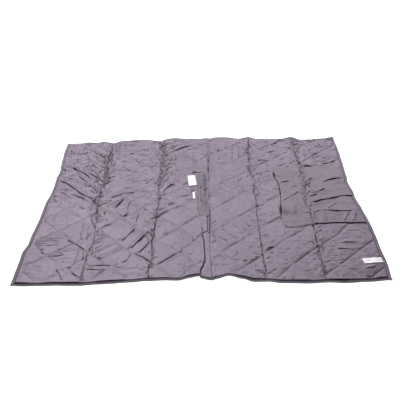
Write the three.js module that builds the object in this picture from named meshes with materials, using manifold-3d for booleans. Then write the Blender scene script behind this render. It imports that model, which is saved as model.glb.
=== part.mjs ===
import * as THREE from 'three';
import Module from 'manifold-3d';
import { mergeVertices } from 'three/addons/utils/BufferGeometryUtils.js';

const wasm = await Module();
wasm.setup();

// A quilted poncho liner laid flat on a floor, in millimetres.
// X runs to the right, Y away from the viewer, Z up. The cloth is drawn on one grid of columns and rows,
// four cells to half a diamond of the quilting, so every stitch line runs along the edges of faces.

// Driving sizes of the cloth
const GAP = 0.35;
const BAND_WIDTH = 14;
const BAND_HEIGHT = 5.2;
const BAND_CROWN = 1.2;
const BAND_FACE = 0.55;
const BAND_FOOT = 0.94;
const STITCHED_THICKNESS = 3;
const LOFT = 6.5;
const LOFT_FULLNESS = 0.6;
const COVERED_LOFT = 0.6;
const RIM_THICKNESS = 4.4;
const RIM_CELLS = 2;
const SEAM_FOLD_SHARE = 0.45;
const PATCH_THICKNESS = 2.2;
const FLY_THICKNESS = 3.6;
const FLY_RIPPLE = 1;
const LABEL_THICKNESS = 1;
const LAYER_GAP = 0.45;
const MOUTH_LIFT = 1.6;
const CUTTER_DEPTH = 300;
const CURVE_STEPS = 6;
const MERGE_WITHIN = 1e-4;

// Rows of the grid, from the front hem to the back edge
const ROWS = 56;
const FRONT_Y = -765;
const BACK_Y = 820;
const ROW_STEP = (BACK_Y - FRONT_Y) / ROWS;
const EDGE_ROWS = 7;
const UNDERSIDE_CELLS = 2;

// One place where two stitch lines cross, and how many cells lie between parallel lines
const CROSSING = { column: 28, row: 8 };
const DIAMOND_CELLS = 8;

// Columns of the grid at which something is sewn, and the rows that bound the pocket and the neck facing
const COLUMN = {
  left: 0,
  seamOne: 11,
  seamTwo: 23,
  centre: 34,
  seamFour: 43,
  mouth: 48,
  seamFive: 53,
  right: 63,
};
const POCKET = { first: COLUMN.mouth, last: COLUMN.right, bottom: 16, top: 40 };
const FACING = { first: 31, last: COLUMN.centre, bottom: 21, top: 39 };
const FACING_LAYER = { first: 30, last: COLUMN.centre, bottom: 20, top: 40 };
const NECK_LAYER = { first: 28, last: 33, bottom: 26, top: 39 };
const HEM_LAYER = { first: 58, last: COLUMN.right, bottom: 2, top: 7 };
const MOUTH = { bottom: 19, top: 39 };
const POCKET_OUTLINE = { left: 521, right: 1100, bottom: -334, top: 500, corner: 63 };
const FACING_OUTLINE = { left: -17, right: 54, bottom: -190, top: 328 };
const FLY_TOP_ROW = 20;
const FLY_COLUMNS = 2;
const FLY_CLEARANCE = 1.2;
const QUILTED_SEAMS = [COLUMN.seamOne, COLUMN.seamTwo, COLUMN.seamFour, COLUMN.seamFive];

// Paths that run from front to back: where each sewn column lies, as [y, x]
const PATHS = {
  left: [[-780, -1027], [-600, -1030], [-520, -1034], [-430, -1018], [-360, -1019], [-200, -1011], [-20, -1012],
    [100, -1001], [180, -1001], [280, -1006], [380, -999], [430, -1009], [530, -1017], [640, -1026],
    [830, -1026]],
  seamOne: [[-780, -660], [-550, -658], [-440, -640], [-200, -652], [0, -675], [150, -680], [330, -663],
    [560, -678], [830, -674]],
  seamTwo: [[-780, -280], [-690, -290], [-600, -276], [-440, -286], [-280, -279], [-60, -270], [120, -281],
    [500, -275], [830, -300]],
  centre: [[-780, 66], [-400, 61], [-200, 64], [340, 66], [830, 68]],
  seamFour: [[-780, 360], [-680, 371], [-540, 366], [-200, 366], [-50, 376], [60, 364], [170, 385],
    [340, 361], [540, 370], [830, 386]],
  mouth: [[-780, 530], [-320, 530], [-220, 522], [-110, 528], [20, 550], [160, 548], [320, 530], [830, 545]],
  seamFive: [[-780, 690], [-600, 696], [-300, 704], [-190, 712], [-80, 698], [60, 711], [340, 731],
    [540, 715], [650, 725], [830, 720]],
  right: [[-780, 1033], [-640, 1044], [-540, 1041], [-440, 1045], [-340, 1044], [-250, 1040], [-170, 1032],
    [-20, 1018], [35, 1021], [150, 1011], [250, 1021], [400, 1032], [640, 1041], [830, 1040]],
};

// The free front edge of the left half, as [y, x], and the columns that give way to it
const FREE_EDGE = [[-780, 2], [-736, 2], [-700, 6], [-664, 18], [-607, 29], [-450, 25], [-393, 18], [-369, 17],
  [-343, 50], [-185, 49]];
const FREE_EDGE_COLUMNS = 6;

// Outer line of the binding along the front hem and the back edge, as [x, y]
const HEM_LEFT = [[-1050, -784], [-960, -790], [-800, -789], [-660, -794], [-560, -786], [-500, -782],
  [-380, -775], [-290, -766], [-200, -764], [-120, -767], [-55, -753], [5, -742]];
const HEM_RIGHT = [[0, -757], [68, -772], [95, -765], [160, -747], [235, -767], [300, -788], [370, -787],
  [450, -800], [600, -806], [700, -801], [800, -808], [900, -802], [1055, -791]];
const BACK = [[-1050, 778], [-925, 781], [-880, 790], [-805, 784], [-750, 795], [-670, 774], [-615, 806],
  [-500, 811], [-400, 812], [-310, 790], [-250, 821], [-190, 827], [-60, 818], [0, 816], [50, 826], [85, 820],
  [130, 837], [200, 835], [320, 807], [385, 809], [460, 798], [560, 790], [640, 791], [725, 794], [785, 771],
  [870, 772], [920, 782], [960, 782], [1055, 792]];

// The pocket's lower and upper edges don't follow their rows exactly: by how much they move at each x
const POCKET_DRIFT = {
  bottom: [[480, 0], [540, -20], [620, -15], [705, 12], [870, 20], [1055, 16]],
  top: [[480, 0], [540, -12], [720, 4], [780, 22], [1055, 34]],
};
const DRIFT_ROWS = 4;

// Places where an edge stands up off the floor: centre, height and reach along each axis
const LIFTS = [
  { x: 385, y: 835, height: 15, reachX: 42, reachY: 95 },
  { x: 722, y: 815, height: 16, reachX: 46, reachY: 110 },
  { x: 160, y: -770, height: 13, reachX: 80, reachY: 75 },
  { x: -25, y: -760, height: 8, reachX: 50, reachY: 90 },
  { x: -215, y: 860, height: 9, reachX: 70, reachY: 80 },
  { x: -880, y: 820, height: 6, reachX: 40, reachY: 60 },
  { x: -752, y: 825, height: 7, reachX: 40, reachY: 60 },
  { x: 1040, y: 815, height: 9, reachX: 50, reachY: 60 },
  { x: -480, y: 850, height: 6, reachX: 90, reachY: 70 },
  { x: -1020, y: 400, height: 7, reachX: 60, reachY: 45 },
];

// Folds: the crest's points, its height and half-width, and the share of that height left at each end
const FOLDS = [
  // fans that run from seam one up to the left edge
  { crest: [[-1000, 690], [-930, 652], [-840, 662], [-770, 612], [-700, 520]],
    height: 9, width: 28, ends: [0.2, 0.2] },
  { crest: [[-770, 705], [-715, 625], [-685, 540]], height: 7, width: 24, ends: [0, 0.2] },
  { crest: [[-850, 545], [-780, 490], [-735, 430], [-690, 330]], height: 9, width: 24, ends: [0, 0.2] },
  { crest: [[-1010, 415], [-950, 425], [-880, 395], [-800, 310], [-720, 225]],
    height: 14, width: 28, ends: [1, 0.2] },
  { crest: [[-870, 320], [-800, 238], [-735, 180], [-690, 120]],
    height: 11, width: 24, ends: [0, 0.2] },
  { crest: [[-970, 262], [-900, 212], [-820, 130], [-745, 68], [-690, 15]],
    height: 12, width: 26, ends: [0.3, 0.2] },
  { crest: [[-880, 105], [-800, 62], [-745, 20], [-695, -60]], height: 9, width: 24, ends: [0, 0.2] },
  // creases at the front of the first column
  { crest: [[-728, -235], [-726, -320], [-722, -400]], height: 6, width: 24, ends: [0, 0] },
  { crest: [[-715, -485], [-717, -560], [-722, -625]], height: 7, width: 24, ends: [0, 0] },
  { crest: [[-800, -415], [-720, -455], [-668, -520]], height: 8, width: 24, ends: [0, 0.4] },
  { crest: [[-835, -600], [-800, -665], [-770, -735]], height: 6, width: 24, ends: [0, 0.2] },
  // the pillows and slanting folds of the second column
  { crest: [[-610, 32], [-550, 62], [-480, 103], [-390, 105]], height: 9, width: 26, ends: [0.2, 0] },
  { crest: [[-555, -55], [-515, 22], [-455, 32]], height: 13, width: 27, ends: [0, 0.2] },
  { crest: [[-470, -20], [-462, -95], [-482, -165]], height: 7, width: 24, ends: [0, 0] },
  { crest: [[-400, -60], [-350, -95], [-300, -135]], height: 8, width: 24, ends: [0, 0.3] },
  { crest: [[-385, -130], [-398, -215], [-410, -260]], height: 8, width: 24, ends: [0, 0] },
  { crest: [[-305, -165], [-360, -240], [-425, -345], [-470, -410]],
    height: 12, width: 26, ends: [0.3, 0] },
  { crest: [[-300, -225], [-335, -310], [-385, -420], [-400, -510]],
    height: 17, width: 29, ends: [0.3, 0] },
  { crest: [[-292, -400], [-325, -455], [-368, -525]], height: 10, width: 25, ends: [0.3, 0] },
  { crest: [[-575, -590], [-505, -535], [-445, -470]], height: 7, width: 30, ends: [0, 0.2] },
  { crest: [[-645, -612], [-545, -612], [-450, -628]], height: 7, width: 24, ends: [0, 0] },
  // fans that run from seam two into the third column
  { crest: [[-280, 640], [-185, 668], [-100, 712], [0, 745], [70, 805]],
    height: 8, width: 25, ends: [0.2, 0.3] },
  { crest: [[-283, 480], [-252, 570], [-225, 645]], height: 9, width: 24, ends: [0.3, 0] },
  { crest: [[-281, 240], [-245, 350], [-195, 405]], height: 9, width: 24, ends: [0.3, 0] },
  { crest: [[-275, 40], [-240, 130], [-180, 192]], height: 7, width: 24, ends: [0.3, 0] },
  { crest: [[-275, -180], [-232, -128], [-185, -85]], height: 9, width: 26, ends: [0.4, 0] },
  // the tuck above the neck, and the free front edge that laps over the fly
  { crest: [[-75, 358], [-20, 352], [45, 352]], height: 7, width: 24, ends: [0.2, 0.2] },
  { crest: [[8, -390], [4, -560], [-20, -735]], height: 5, width: 30, ends: [0.2, 0.8] },
  // the fifth column
  { crest: [[440, 645], [500, 695], [560, 722], [630, 785]], height: 8, width: 25, ends: [0, 0.3] },
  { crest: [[430, 188], [485, 215], [535, 245]], height: 5, width: 25, ends: [0, 0] },
  // the last column, across the pocket
  { crest: [[735, 405], [790, 415], [845, 402]], height: 10, width: 24, ends: [0.3, 0] },
  { crest: [[865, 420], [930, 452], [1005, 482]], height: 9, width: 24, ends: [0, 0.3] },
  { crest: [[855, 195], [930, 240], [1005, 248]], height: 10, width: 25, ends: [0, 0.6] },
  { crest: [[722, 30], [800, 72], [875, 118]], height: 9, width: 24, ends: [0.4, 0] },
  { crest: [[765, -25], [850, 8], [945, 42], [1012, 32]], height: 15, width: 27, ends: [0, 0.8] },
  { crest: [[785, -125], [860, -128], [985, -132]], height: 8, width: 24, ends: [0, 0] },
  { crest: [[720, -275], [860, -270], [1020, -272]], height: 7, width: 24, ends: [0.3, 0.6] },
];

// A fold's height fades over this share of its length, at both ends
const FADE_SHARE = 1 / 3;

// Gathered cloth beside the seams: how far it rises and falls from row to row
const PUCKERS = [
  { column: COLUMN.seamOne, height: 2.6 },
  { column: COLUMN.seamTwo, height: 2.2 },
  { column: COLUMN.seamFour, height: 1.2 },
  { column: COLUMN.seamFive, height: 1.6 },
];

// Blank labels on the cloth: centre, size and turn in degrees
const LABELS = [
  { name: 'label_neck', on: 'neck', x: -52, y: 212, width: 54, length: 132, turn: 4, slot: 'label' },
  { name: 'label_tape', on: 'neck', x: -46, y: 110, width: 26, length: 62, turn: 4, slot: 'binding' },
  { name: 'label_strip', on: 'neck', x: -38, y: 36, width: 15, length: 78, turn: 3, slot: 'label' },
  { name: 'label_hem', on: 'hem', x: 979, y: -638, width: 110, length: 40, turn: 3, slot: 'label' },
];
const SNAPS = [
  { name: 'snap_upper', x: 9, y: 126 },
  { name: 'snap_lower', x: 11, y: -24 },
];
const SNAP = { radius: 6.5, brim: 0.9, crown: 3.9, shoulder: 1.9, dome: 2.4, sides: 16 };

const MATERIALS = {
  shell: new THREE.MeshStandardMaterial({ color: 0x968a98, roughness: 0.62, metalness: 0 }),
  plain: new THREE.MeshStandardMaterial({ color: 0x8c8190, roughness: 0.6, metalness: 0 }),
  binding: new THREE.MeshStandardMaterial({ color: 0x77747c, roughness: 0.8, metalness: 0 }),
  label: new THREE.MeshStandardMaterial({ color: 0xf2f0f4, roughness: 0.7, metalness: 0 }),
  snap: new THREE.MeshStandardMaterial({ color: 0x57525c, roughness: 0.4, metalness: 0.4 }),
};

// Smooth value of a two-column table at one place
function along(table, at) {
  if (at <= table[0][0]) return table[0][1];
  for (let k = 1; k < table.length; k += 1) {
    const [to, value] = table[k];
    const [from, before] = table[k - 1];
    if (at <= to) return before + (value - before) * ease((at - from) / (to - from));
  }
  return table[table.length - 1][1];
}

function ease(t) {
  const s = Math.min(1, Math.max(0, t));
  return s * s * (3 - 2 * s);
}

// Plan position of a grid point on the whole cloth
function columnX(i, y) {
  const names = Object.keys(COLUMN);
  let k = 1;
  while (i > COLUMN[names[k]]) k += 1;
  const from = COLUMN[names[k - 1]];
  const to = COLUMN[names[k]];
  const x0 = along(PATHS[names[k - 1]], y);
  const x1 = along(PATHS[names[k]], y);
  return x0 + (x1 - x0) * (i - from) / (to - from);
}

function pocketDrift(j, x) {
  const near = (row) => Math.max(0, 1 - Math.abs(j - row) / DRIFT_ROWS);
  return along(POCKET_DRIFT.bottom, x) * near(POCKET.bottom) + along(POCKET_DRIFT.top, x) * near(POCKET.top);
}

function rowY(j, x, hem) {
  const front = along(hem, x) + BAND_WIDTH + GAP - FRONT_Y;
  const back = along(BACK, x) - BAND_WIDTH - GAP - BACK_Y;
  const nearFront = Math.max(0, 1 - j / EDGE_ROWS) ** 2;
  const nearBack = Math.max(0, 1 - (ROWS - j) / EDGE_ROWS) ** 2;
  return FRONT_Y + ROW_STEP * j + front * nearFront + back * nearBack + pocketDrift(j, x);
}

function planLeft(i, j) {
  const nominal = FRONT_Y + ROW_STEP * j;
  const give = Math.max(0, (i - COLUMN.centre + FREE_EDGE_COLUMNS) / FREE_EDGE_COLUMNS) ** 2;
  const centre = along(PATHS.centre, nominal) - GAP / 2;
  const edge = j > FLY_TOP_ROW ? centre : Math.min(centre, along(FREE_EDGE, nominal));
  const x = columnX(i, nominal) - (i === COLUMN.centre ? GAP / 2 : 0) + (edge - centre) * give;
  return [x, rowY(j, x, HEM_LEFT)];
}

function planRight(i, j) {
  const x = columnX(i, FRONT_Y + ROW_STEP * j) + (i === COLUMN.centre ? GAP / 2 : 0);
  return [x, rowY(j, x, HEM_RIGHT)];
}

function planFly(i, j) {
  const x0 = planLeft(COLUMN.centre, j)[0] + FLY_CLEARANCE;
  const x1 = columnX(COLUMN.centre, FRONT_Y + ROW_STEP * j) - GAP / 2;
  const x = x0 + (x1 - x0) * i / FLY_COLUMNS;
  return [x, rowY(j, x, HEM_RIGHT)];
}

// Heights
function liftAt(x, y) {
  return LIFTS.reduce((sum, lift) => {
    const reach = ((x - lift.x) / lift.reachX) ** 2 + ((y - lift.y) / lift.reachY) ** 2;
    return sum + lift.height * Math.exp(-reach);
  }, 0);
}

function foldHeight(fold, x, y) {
  const lengths = fold.crest.slice(1).map(([bx, by], k) => {
    const [ax, ay] = fold.crest[k];
    return Math.hypot(bx - ax, by - ay);
  });
  const whole = lengths.reduce((a, b) => a + b, 0);
  let nearest = Infinity;
  let place = 0;
  let walked = 0;
  lengths.forEach((length, k) => {
    const [ax, ay] = fold.crest[k];
    const [bx, by] = fold.crest[k + 1];
    const t = Math.min(1, Math.max(0, ((x - ax) * (bx - ax) + (y - ay) * (by - ay)) / length ** 2));
    const distance = Math.hypot(x - ax - t * (bx - ax), y - ay - t * (by - ay));
    if (distance < nearest) {
      nearest = distance;
      place = (walked + t * length) / whole;
    }
    walked += length;
  });
  const [atStart, atEnd] = fold.ends;
  const share = Math.min(
    atStart + (1 - atStart) * ease(place / FADE_SHARE),
    atEnd + (1 - atEnd) * ease((1 - place) / FADE_SHARE),
  );
  return fold.height * share * Math.exp(-((nearest / fold.width) ** 2));
}

function foldsAt(x, y) {
  return Math.max(0, ...FOLDS.map((fold) => foldHeight(fold, x, y)));
}

function within(patch, i, j, margin) {
  const inColumns = i >= patch.first + margin && i <= patch.last - margin;
  return inColumns && j >= patch.bottom + margin && j <= patch.top - margin;
}

function diamondLoft(i, j) {
  const up = (i - CROSSING.column) - (j - CROSSING.row);
  const down = (i - CROSSING.column) + (j - CROSSING.row);
  const wave = Math.sin(Math.PI * up / DIAMOND_CELLS) * Math.sin(Math.PI * down / DIAMOND_CELLS);
  return Math.abs(wave) ** LOFT_FULLNESS;
}

// Height of the quilted cloth's upper side above its underside
function quiltThickness(i, j) {
  const covered = within(POCKET, i, j, 1) || within(FACING, i, j, 1);
  if (QUILTED_SEAMS.includes(i)) return STITCHED_THICKNESS;
  const cellsIn = Math.min(i - COLUMN.left, COLUMN.right - i, j, ROWS - j);
  const inward = i === COLUMN.centre ? 0 : ease(cellsIn / RIM_CELLS);
  const loft = covered ? COVERED_LOFT : diamondLoft(i, j);
  return RIM_THICKNESS + (STITCHED_THICKNESS + LOFT * loft - RIM_THICKNESS) * inward;
}

function puckerAt(i, j) {
  const beside = PUCKERS.find((pucker) => Math.abs(i - pucker.column) === 1);
  if (!beside || j < 1 || j >= ROWS) return 0;
  const side = i > beside.column ? 1 : 0;
  return (j + side) % 2 ? beside.height : 0;
}

function quiltTop(i, j, x, y) {
  const onRim = j === 0 || j === ROWS || i === COLUMN.left || i === COLUMN.right;
  const share = QUILTED_SEAMS.includes(i) ? SEAM_FOLD_SHARE : 1;
  const folds = onRim ? 0 : foldsAt(x, y) * share;
  return liftAt(x, y) + quiltThickness(i, j) + puckerAt(i, j) + folds;
}

// Closed sheet over a range of the grid. The upper side has every grid point. The underside has each
// second one, and every point along its rim, so the cloth can rise there and lie flat elsewhere.
function sheetGeometry({ first, last, bottom, top }, plan, upper, lower, wholeUnderside = false) {
  const points = [];
  const faces = [];
  const seen = new Map();
  const point = (side, i, j) => {
    const key = `${side} ${i} ${j}`;
    if (!seen.has(key)) {
      const [x, y] = plan(i, j);
      seen.set(key, points.length / 3);
      points.push(x, y, side === 'upper' ? upper(i, j, x, y) : lower(i, j, x, y));
    }
    return seen.get(key);
  };
  for (let i = first; i < last; i += 1) {
    for (let j = bottom; j < top; j += 1) {
      faces.push(...splitCell(i, j).map(([a, b]) => point('upper', a, b)));
      if (wholeUnderside) faces.push(...splitCell(i, j).map(([a, b]) => point('lower', a, b)).reverse());
    }
  }
  if (!wholeUnderside) {
    const columns = everySecond(first, last);
    const rows = everySecond(bottom, top);
    for (let c = 1; c < columns.length; c += 1) {
      for (let r = 1; r < rows.length; r += 1) {
        const cell = [[columns[c - 1], columns[c]], [rows[r - 1], rows[r]]];
        const corners = coarseRing(cell, { first, last, bottom, top }).map(([a, b]) => point('lower', a, b));
        for (let k = 1; k < corners.length - 1; k += 1) faces.push(corners[0], corners[k + 1], corners[k]);
      }
    }
  }
  const rim = rimOf({ first, last, bottom, top });
  rim.forEach(([a, b], k) => {
    const [c, d] = rim[(k + 1) % rim.length];
    faces.push(point('lower', a, b), point('lower', c, d), point('upper', c, d));
    faces.push(point('lower', a, b), point('upper', c, d), point('upper', a, b));
  });
  return indexed(points, faces);
}

// The two triangles of a cell, split along the stitch line that is nearest to it
function splitCell(i, j) {
  const half = DIAMOND_CELLS / 2;
  const wrap = (v) => Math.abs((v % DIAMOND_CELLS + DIAMOND_CELLS + half) % DIAMOND_CELLS - half);
  const up = wrap((i - CROSSING.column) - (j - CROSSING.row));
  const down = wrap((i - CROSSING.column) + (j - CROSSING.row) + 1);
  if (up <= down) return [[i, j], [i + 1, j], [i + 1, j + 1], [i, j], [i + 1, j + 1], [i, j + 1]];
  return [[i, j], [i + 1, j], [i, j + 1], [i + 1, j], [i + 1, j + 1], [i, j + 1]];
}

function everySecond(from, to) {
  const places = [];
  for (let k = from; k < to; k += UNDERSIDE_CELLS) places.push(k);
  return [...places, to];
}

// Outline of one coarse cell, with the fine points along the sheet's rim, starting at its innermost corner
function coarseRing([[i0, i1], [j0, j1]], patch) {
  const between = (a, b) => (b - a === UNDERSIDE_CELLS ? [a + 1] : []);
  const ring = [[i0, j0]];
  if (j0 === patch.bottom) between(i0, i1).forEach((i) => ring.push([i, j0]));
  ring.push([i1, j0]);
  if (i1 === patch.last) between(j0, j1).forEach((j) => ring.push([i1, j]));
  ring.push([i1, j1]);
  if (j1 === patch.top) between(i0, i1).forEach((i) => ring.push([i, j1]));
  ring.push([i0, j1]);
  if (i0 === patch.first) between(j0, j1).forEach((j) => ring.push([i0, j]));
  const innerI = i0 === patch.first ? i1 : i0;
  const innerJ = j0 === patch.bottom ? j1 : j0;
  const start = ring.findIndex(([i, j]) => i === innerI && j === innerJ);
  return [...ring.slice(start), ...ring.slice(0, start)];
}

function rimOf({ first, last, bottom, top }) {
  const rim = [];
  for (let i = first; i < last; i += 1) rim.push([i, bottom]);
  for (let j = bottom; j < top; j += 1) rim.push([last, j]);
  for (let i = last; i > first; i -= 1) rim.push([i, top]);
  for (let j = top; j > bottom; j -= 1) rim.push([first, j]);
  return rim;
}

function indexed(points, faces) {
  const geometry = new THREE.BufferGeometry();
  geometry.setAttribute('position', new THREE.Float32BufferAttribute(points, 3));
  geometry.setIndex(faces);
  geometry.computeVertexNormals();
  return geometry;
}

// Band of binding along an edge. Each station gives the cloth's edge, the way out of it and the height
function bandGeometry(stations) {
  const points = [];
  const faces = [];
  const section = 5;
  stations.forEach(({ x, y, outX, outY, z }) => {
    const place = (out, up) => points.push(x + outX * out, y + outY * out, z + up);
    place(GAP, 0);
    place(GAP, BAND_HEIGHT);
    place(GAP + BAND_WIDTH / 2, BAND_HEIGHT + BAND_CROWN);
    place(GAP + BAND_WIDTH, BAND_HEIGHT * BAND_FACE);
    place(GAP + BAND_WIDTH * BAND_FOOT, 0);
  });
  for (let k = 1; k < stations.length; k += 1) {
    for (let s = 0; s < section; s += 1) {
      const a = (k - 1) * section + s;
      const b = (k - 1) * section + (s + 1) % section;
      faces.push(a, a + section, b, b, a + section, b + section);
    }
  }
  const end = (stations.length - 1) * section;
  for (let s = 1; s < section - 1; s += 1) {
    faces.push(0, s, s + 1);
    faces.push(end, end + s + 1, end + s);
  }
  return indexed(points, faces);
}

function frontStation(plan) {
  return (i) => {
    const [x, y] = plan(i, 0);
    return { x, y, outX: 0, outY: -1, z: liftAt(x, y) };
  };
}

function backStation(plan) {
  return (i) => {
    const [x, y] = plan(i, ROWS);
    return { x, y, outX: 0, outY: 1, z: liftAt(x, y) };
  };
}

// A side band runs past the cloth's corners, over the ends of the front and back bands
function sideBand(i, plan, outX) {
  const stations = [];
  for (let j = 0; j <= ROWS; j += 1) {
    const [x, y] = plan(i, j);
    stations.push({ x, y, outX, outY: 0, z: liftAt(x, y) });
  }
  const reach = BAND_WIDTH + GAP;
  stations[0].y -= reach;
  stations[ROWS].y += reach;
  return outX < 0 ? stations : stations.reverse();
}

function span(from, to) {
  return Array.from({ length: to - from + 1 }, (_, k) => from + k);
}

// What is sewn on top is cut from a layer that follows the cloth beneath it
function toManifold(geometry) {
  const bare = geometry.clone();
  bare.deleteAttribute('normal');
  bare.deleteAttribute('uv');
  const merged = mergeVertices(bare, MERGE_WITHIN);
  return new wasm.Manifold(new wasm.Mesh({
    numProp: 3,
    vertProperties: new Float32Array(merged.attributes.position.array),
    triVerts: new Uint32Array(merged.index.array),
  }));
}

function layerOver(patch, plan, thickness, extra = () => 0) {
  const lower = (i, j, x, y) => quiltTop(i, j, x, y) + LAYER_GAP + extra(i, j);
  const upper = (i, j, x, y) => lower(i, j, x, y) + thickness;
  return sheetGeometry(patch, plan, upper, lower, true);
}

function cutFrom(layer, outline) {
  const settings = { depth: CUTTER_DEPTH, bevelEnabled: false, curveSegments: CURVE_STEPS };
  const cutter = new THREE.ExtrudeGeometry(outline, settings);
  cutter.translate(0, 0, -CUTTER_DEPTH / 2);
  const mesh = toManifold(layer).intersect(toManifold(cutter)).getMesh();
  return indexed(Array.from(mesh.vertProperties), Array.from(mesh.triVerts));
}

function labelOutline({ x, y, width, length, turn }) {
  const middle = new THREE.Vector2(x, y);
  const angle = THREE.MathUtils.degToRad(turn);
  const corners = [[-1, -1], [1, -1], [1, 1], [-1, 1]].map(([a, b]) => (
    new THREE.Vector2(x + a * width / 2, y + b * length / 2).rotateAround(middle, angle)
  ));
  return new THREE.Shape(corners);
}

// The pocket is square but for its lower corner at the mouth
function pocketOutline() {
  const { left, bottom, right, top, corner } = POCKET_OUTLINE;
  const shape = new THREE.Shape();
  shape.moveTo(left, top);
  shape.lineTo(left, bottom + corner);
  shape.quadraticCurveTo(left, bottom, left + corner, bottom);
  shape.lineTo(right, bottom);
  shape.lineTo(right, top);
  return shape;
}

// The neck facing ends in a half-round tongue
function facingOutline() {
  const { left, right, bottom, top } = FACING_OUTLINE;
  const radius = (right - left) / 2;
  const shape = new THREE.Shape();
  shape.moveTo(right, top);
  shape.lineTo(left, top);
  shape.lineTo(left, bottom + radius);
  shape.absarc(left + radius, bottom + radius, radius, Math.PI, 2 * Math.PI);
  return shape;
}

// A snap rests on the highest point of the cloth under its brim
function snapGeometry({ x, y }, carrier) {
  const caster = new THREE.Raycaster();
  const down = new THREE.Vector3(0, 0, -1);
  const heights = span(0, SNAP.sides).map((k) => {
    const angle = 2 * Math.PI * k / SNAP.sides;
    const above = new THREE.Vector3(SNAP.radius, 0, CUTTER_DEPTH).applyAxisAngle(down, angle);
    caster.set(above.add(new THREE.Vector3(x, y, 0)), down);
    return caster.intersectObject(carrier)[0].point.z;
  });
  const { radius, brim, crown, shoulder, dome, sides } = SNAP;
  const profile = [[0, 0], [radius, 0], [radius, brim], [crown, shoulder], [0, dome]];
  const snap = new THREE.LatheGeometry(profile.map(([r, h]) => new THREE.Vector2(r, h)), sides);
  snap.rotateX(Math.PI / 2);
  snap.translate(x, y, Math.max(...heights) + GAP);
  return snap;
}

function quiltUnderside(i, j, x, y) {
  if (i === COLUMN.left || i === COLUMN.right || j === 0 || j === ROWS) return liftAt(x, y);
  const reach = UNDERSIDE_CELLS * ROW_STEP;
  const around = [[0, 0], [reach, 0], [-reach, 0], [0, reach], [0, -reach]];
  return Math.min(...around.map(([dx, dy]) => liftAt(x + dx, y + dy)));
}

function flyGeometry() {
  const patch = { first: 0, last: FLY_COLUMNS, bottom: 0, top: FLY_TOP_ROW };
  const ripple = (i, j) => (i === 1 && j > 0 && j % 3 === 1 ? FLY_RIPPLE : 0);
  const upper = (i, j, x, y) => liftAt(x, y) + FLY_THICKNESS + ripple(i, j);
  return sheetGeometry(patch, planFly, upper, (i, j, x, y) => liftAt(x, y), true);
}

const group = new THREE.Group();

function add(name, geometry, slot) {
  const mesh = new THREE.Mesh(geometry, MATERIALS[slot]);
  mesh.name = name;
  group.add(mesh);
  return mesh;
}

// The two halves of quilted cloth, sewn together behind the neck, and the fly between their free front edges
const wholeLength = { bottom: 0, top: ROWS };
const leftHalf = { first: COLUMN.left, last: COLUMN.centre, ...wholeLength };
const rightHalf = { first: COLUMN.centre, last: COLUMN.right, ...wholeLength };
add('quilt_left', sheetGeometry(leftHalf, planLeft, quiltTop, quiltUnderside), 'shell');
add('quilt_right', sheetGeometry(rightHalf, planRight, quiltTop, quiltUnderside), 'shell');
add('front_fly', flyGeometry(), 'shell');

// Binding along every outer edge
const leftColumns = span(COLUMN.left, COLUMN.centre);
const rightColumns = span(COLUMN.centre, COLUMN.right);
const flyHem = [0, 1].map(frontStation(planFly));
const frontLeft = leftColumns.map(frontStation(planLeft)).reverse();
const frontRight = [...flyHem, ...rightColumns.map(frontStation(planRight))].reverse();
const backLeft = leftColumns.slice(0, -1).map(backStation(planLeft));
const backRight = rightColumns.map(backStation(planRight));
add('binding_left', bandGeometry(sideBand(COLUMN.left, planLeft, -1)), 'binding');
add('binding_right', bandGeometry(sideBand(COLUMN.right, planRight, 1)), 'binding');
add('binding_front_left', bandGeometry(frontLeft), 'binding');
add('binding_front_right', bandGeometry(frontRight), 'binding');
add('binding_back', bandGeometry([...backLeft, ...backRight]), 'binding');

// The large plain pocket, whose mouth is its left side
const mouthLift = (i, j) => (i === POCKET.first && j > MOUTH.bottom && j < MOUTH.top ? MOUTH_LIFT : 0);
const pocketLayer = layerOver(POCKET, planRight, PATCH_THICKNESS, mouthLift);
add('pocket_panel', cutFrom(pocketLayer, pocketOutline()), 'plain');

// The neck facing with its two snaps
const facingLayer = layerOver(FACING_LAYER, planLeft, PATCH_THICKNESS);
const facing = add('neck_facing', cutFrom(facingLayer, facingOutline()), 'plain');
SNAPS.forEach((snap) => add(snap.name, snapGeometry(snap, facing), 'snap'));

// Blank labels
const labelLayers = {
  neck: layerOver(NECK_LAYER, planLeft, LABEL_THICKNESS),
  hem: layerOver(HEM_LAYER, planRight, LABEL_THICKNESS),
};
LABELS.forEach((label) => add(label.name, cutFrom(labelLayers[label.on], labelOutline(label)), label.slot));

// The origin lies under the middle of the whole cloth
const box = new THREE.Box3().setFromObject(group);
group.position.set(-(box.min.x + box.max.x) / 2, -(box.min.y + box.max.y) / 2, 0);

export default group;
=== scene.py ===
"""A quilted poncho liner spread out on a pale floor, seen at a slant from its open front."""
import math

import bpy
import numpy as np

from mathutils import Matrix, Vector


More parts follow.
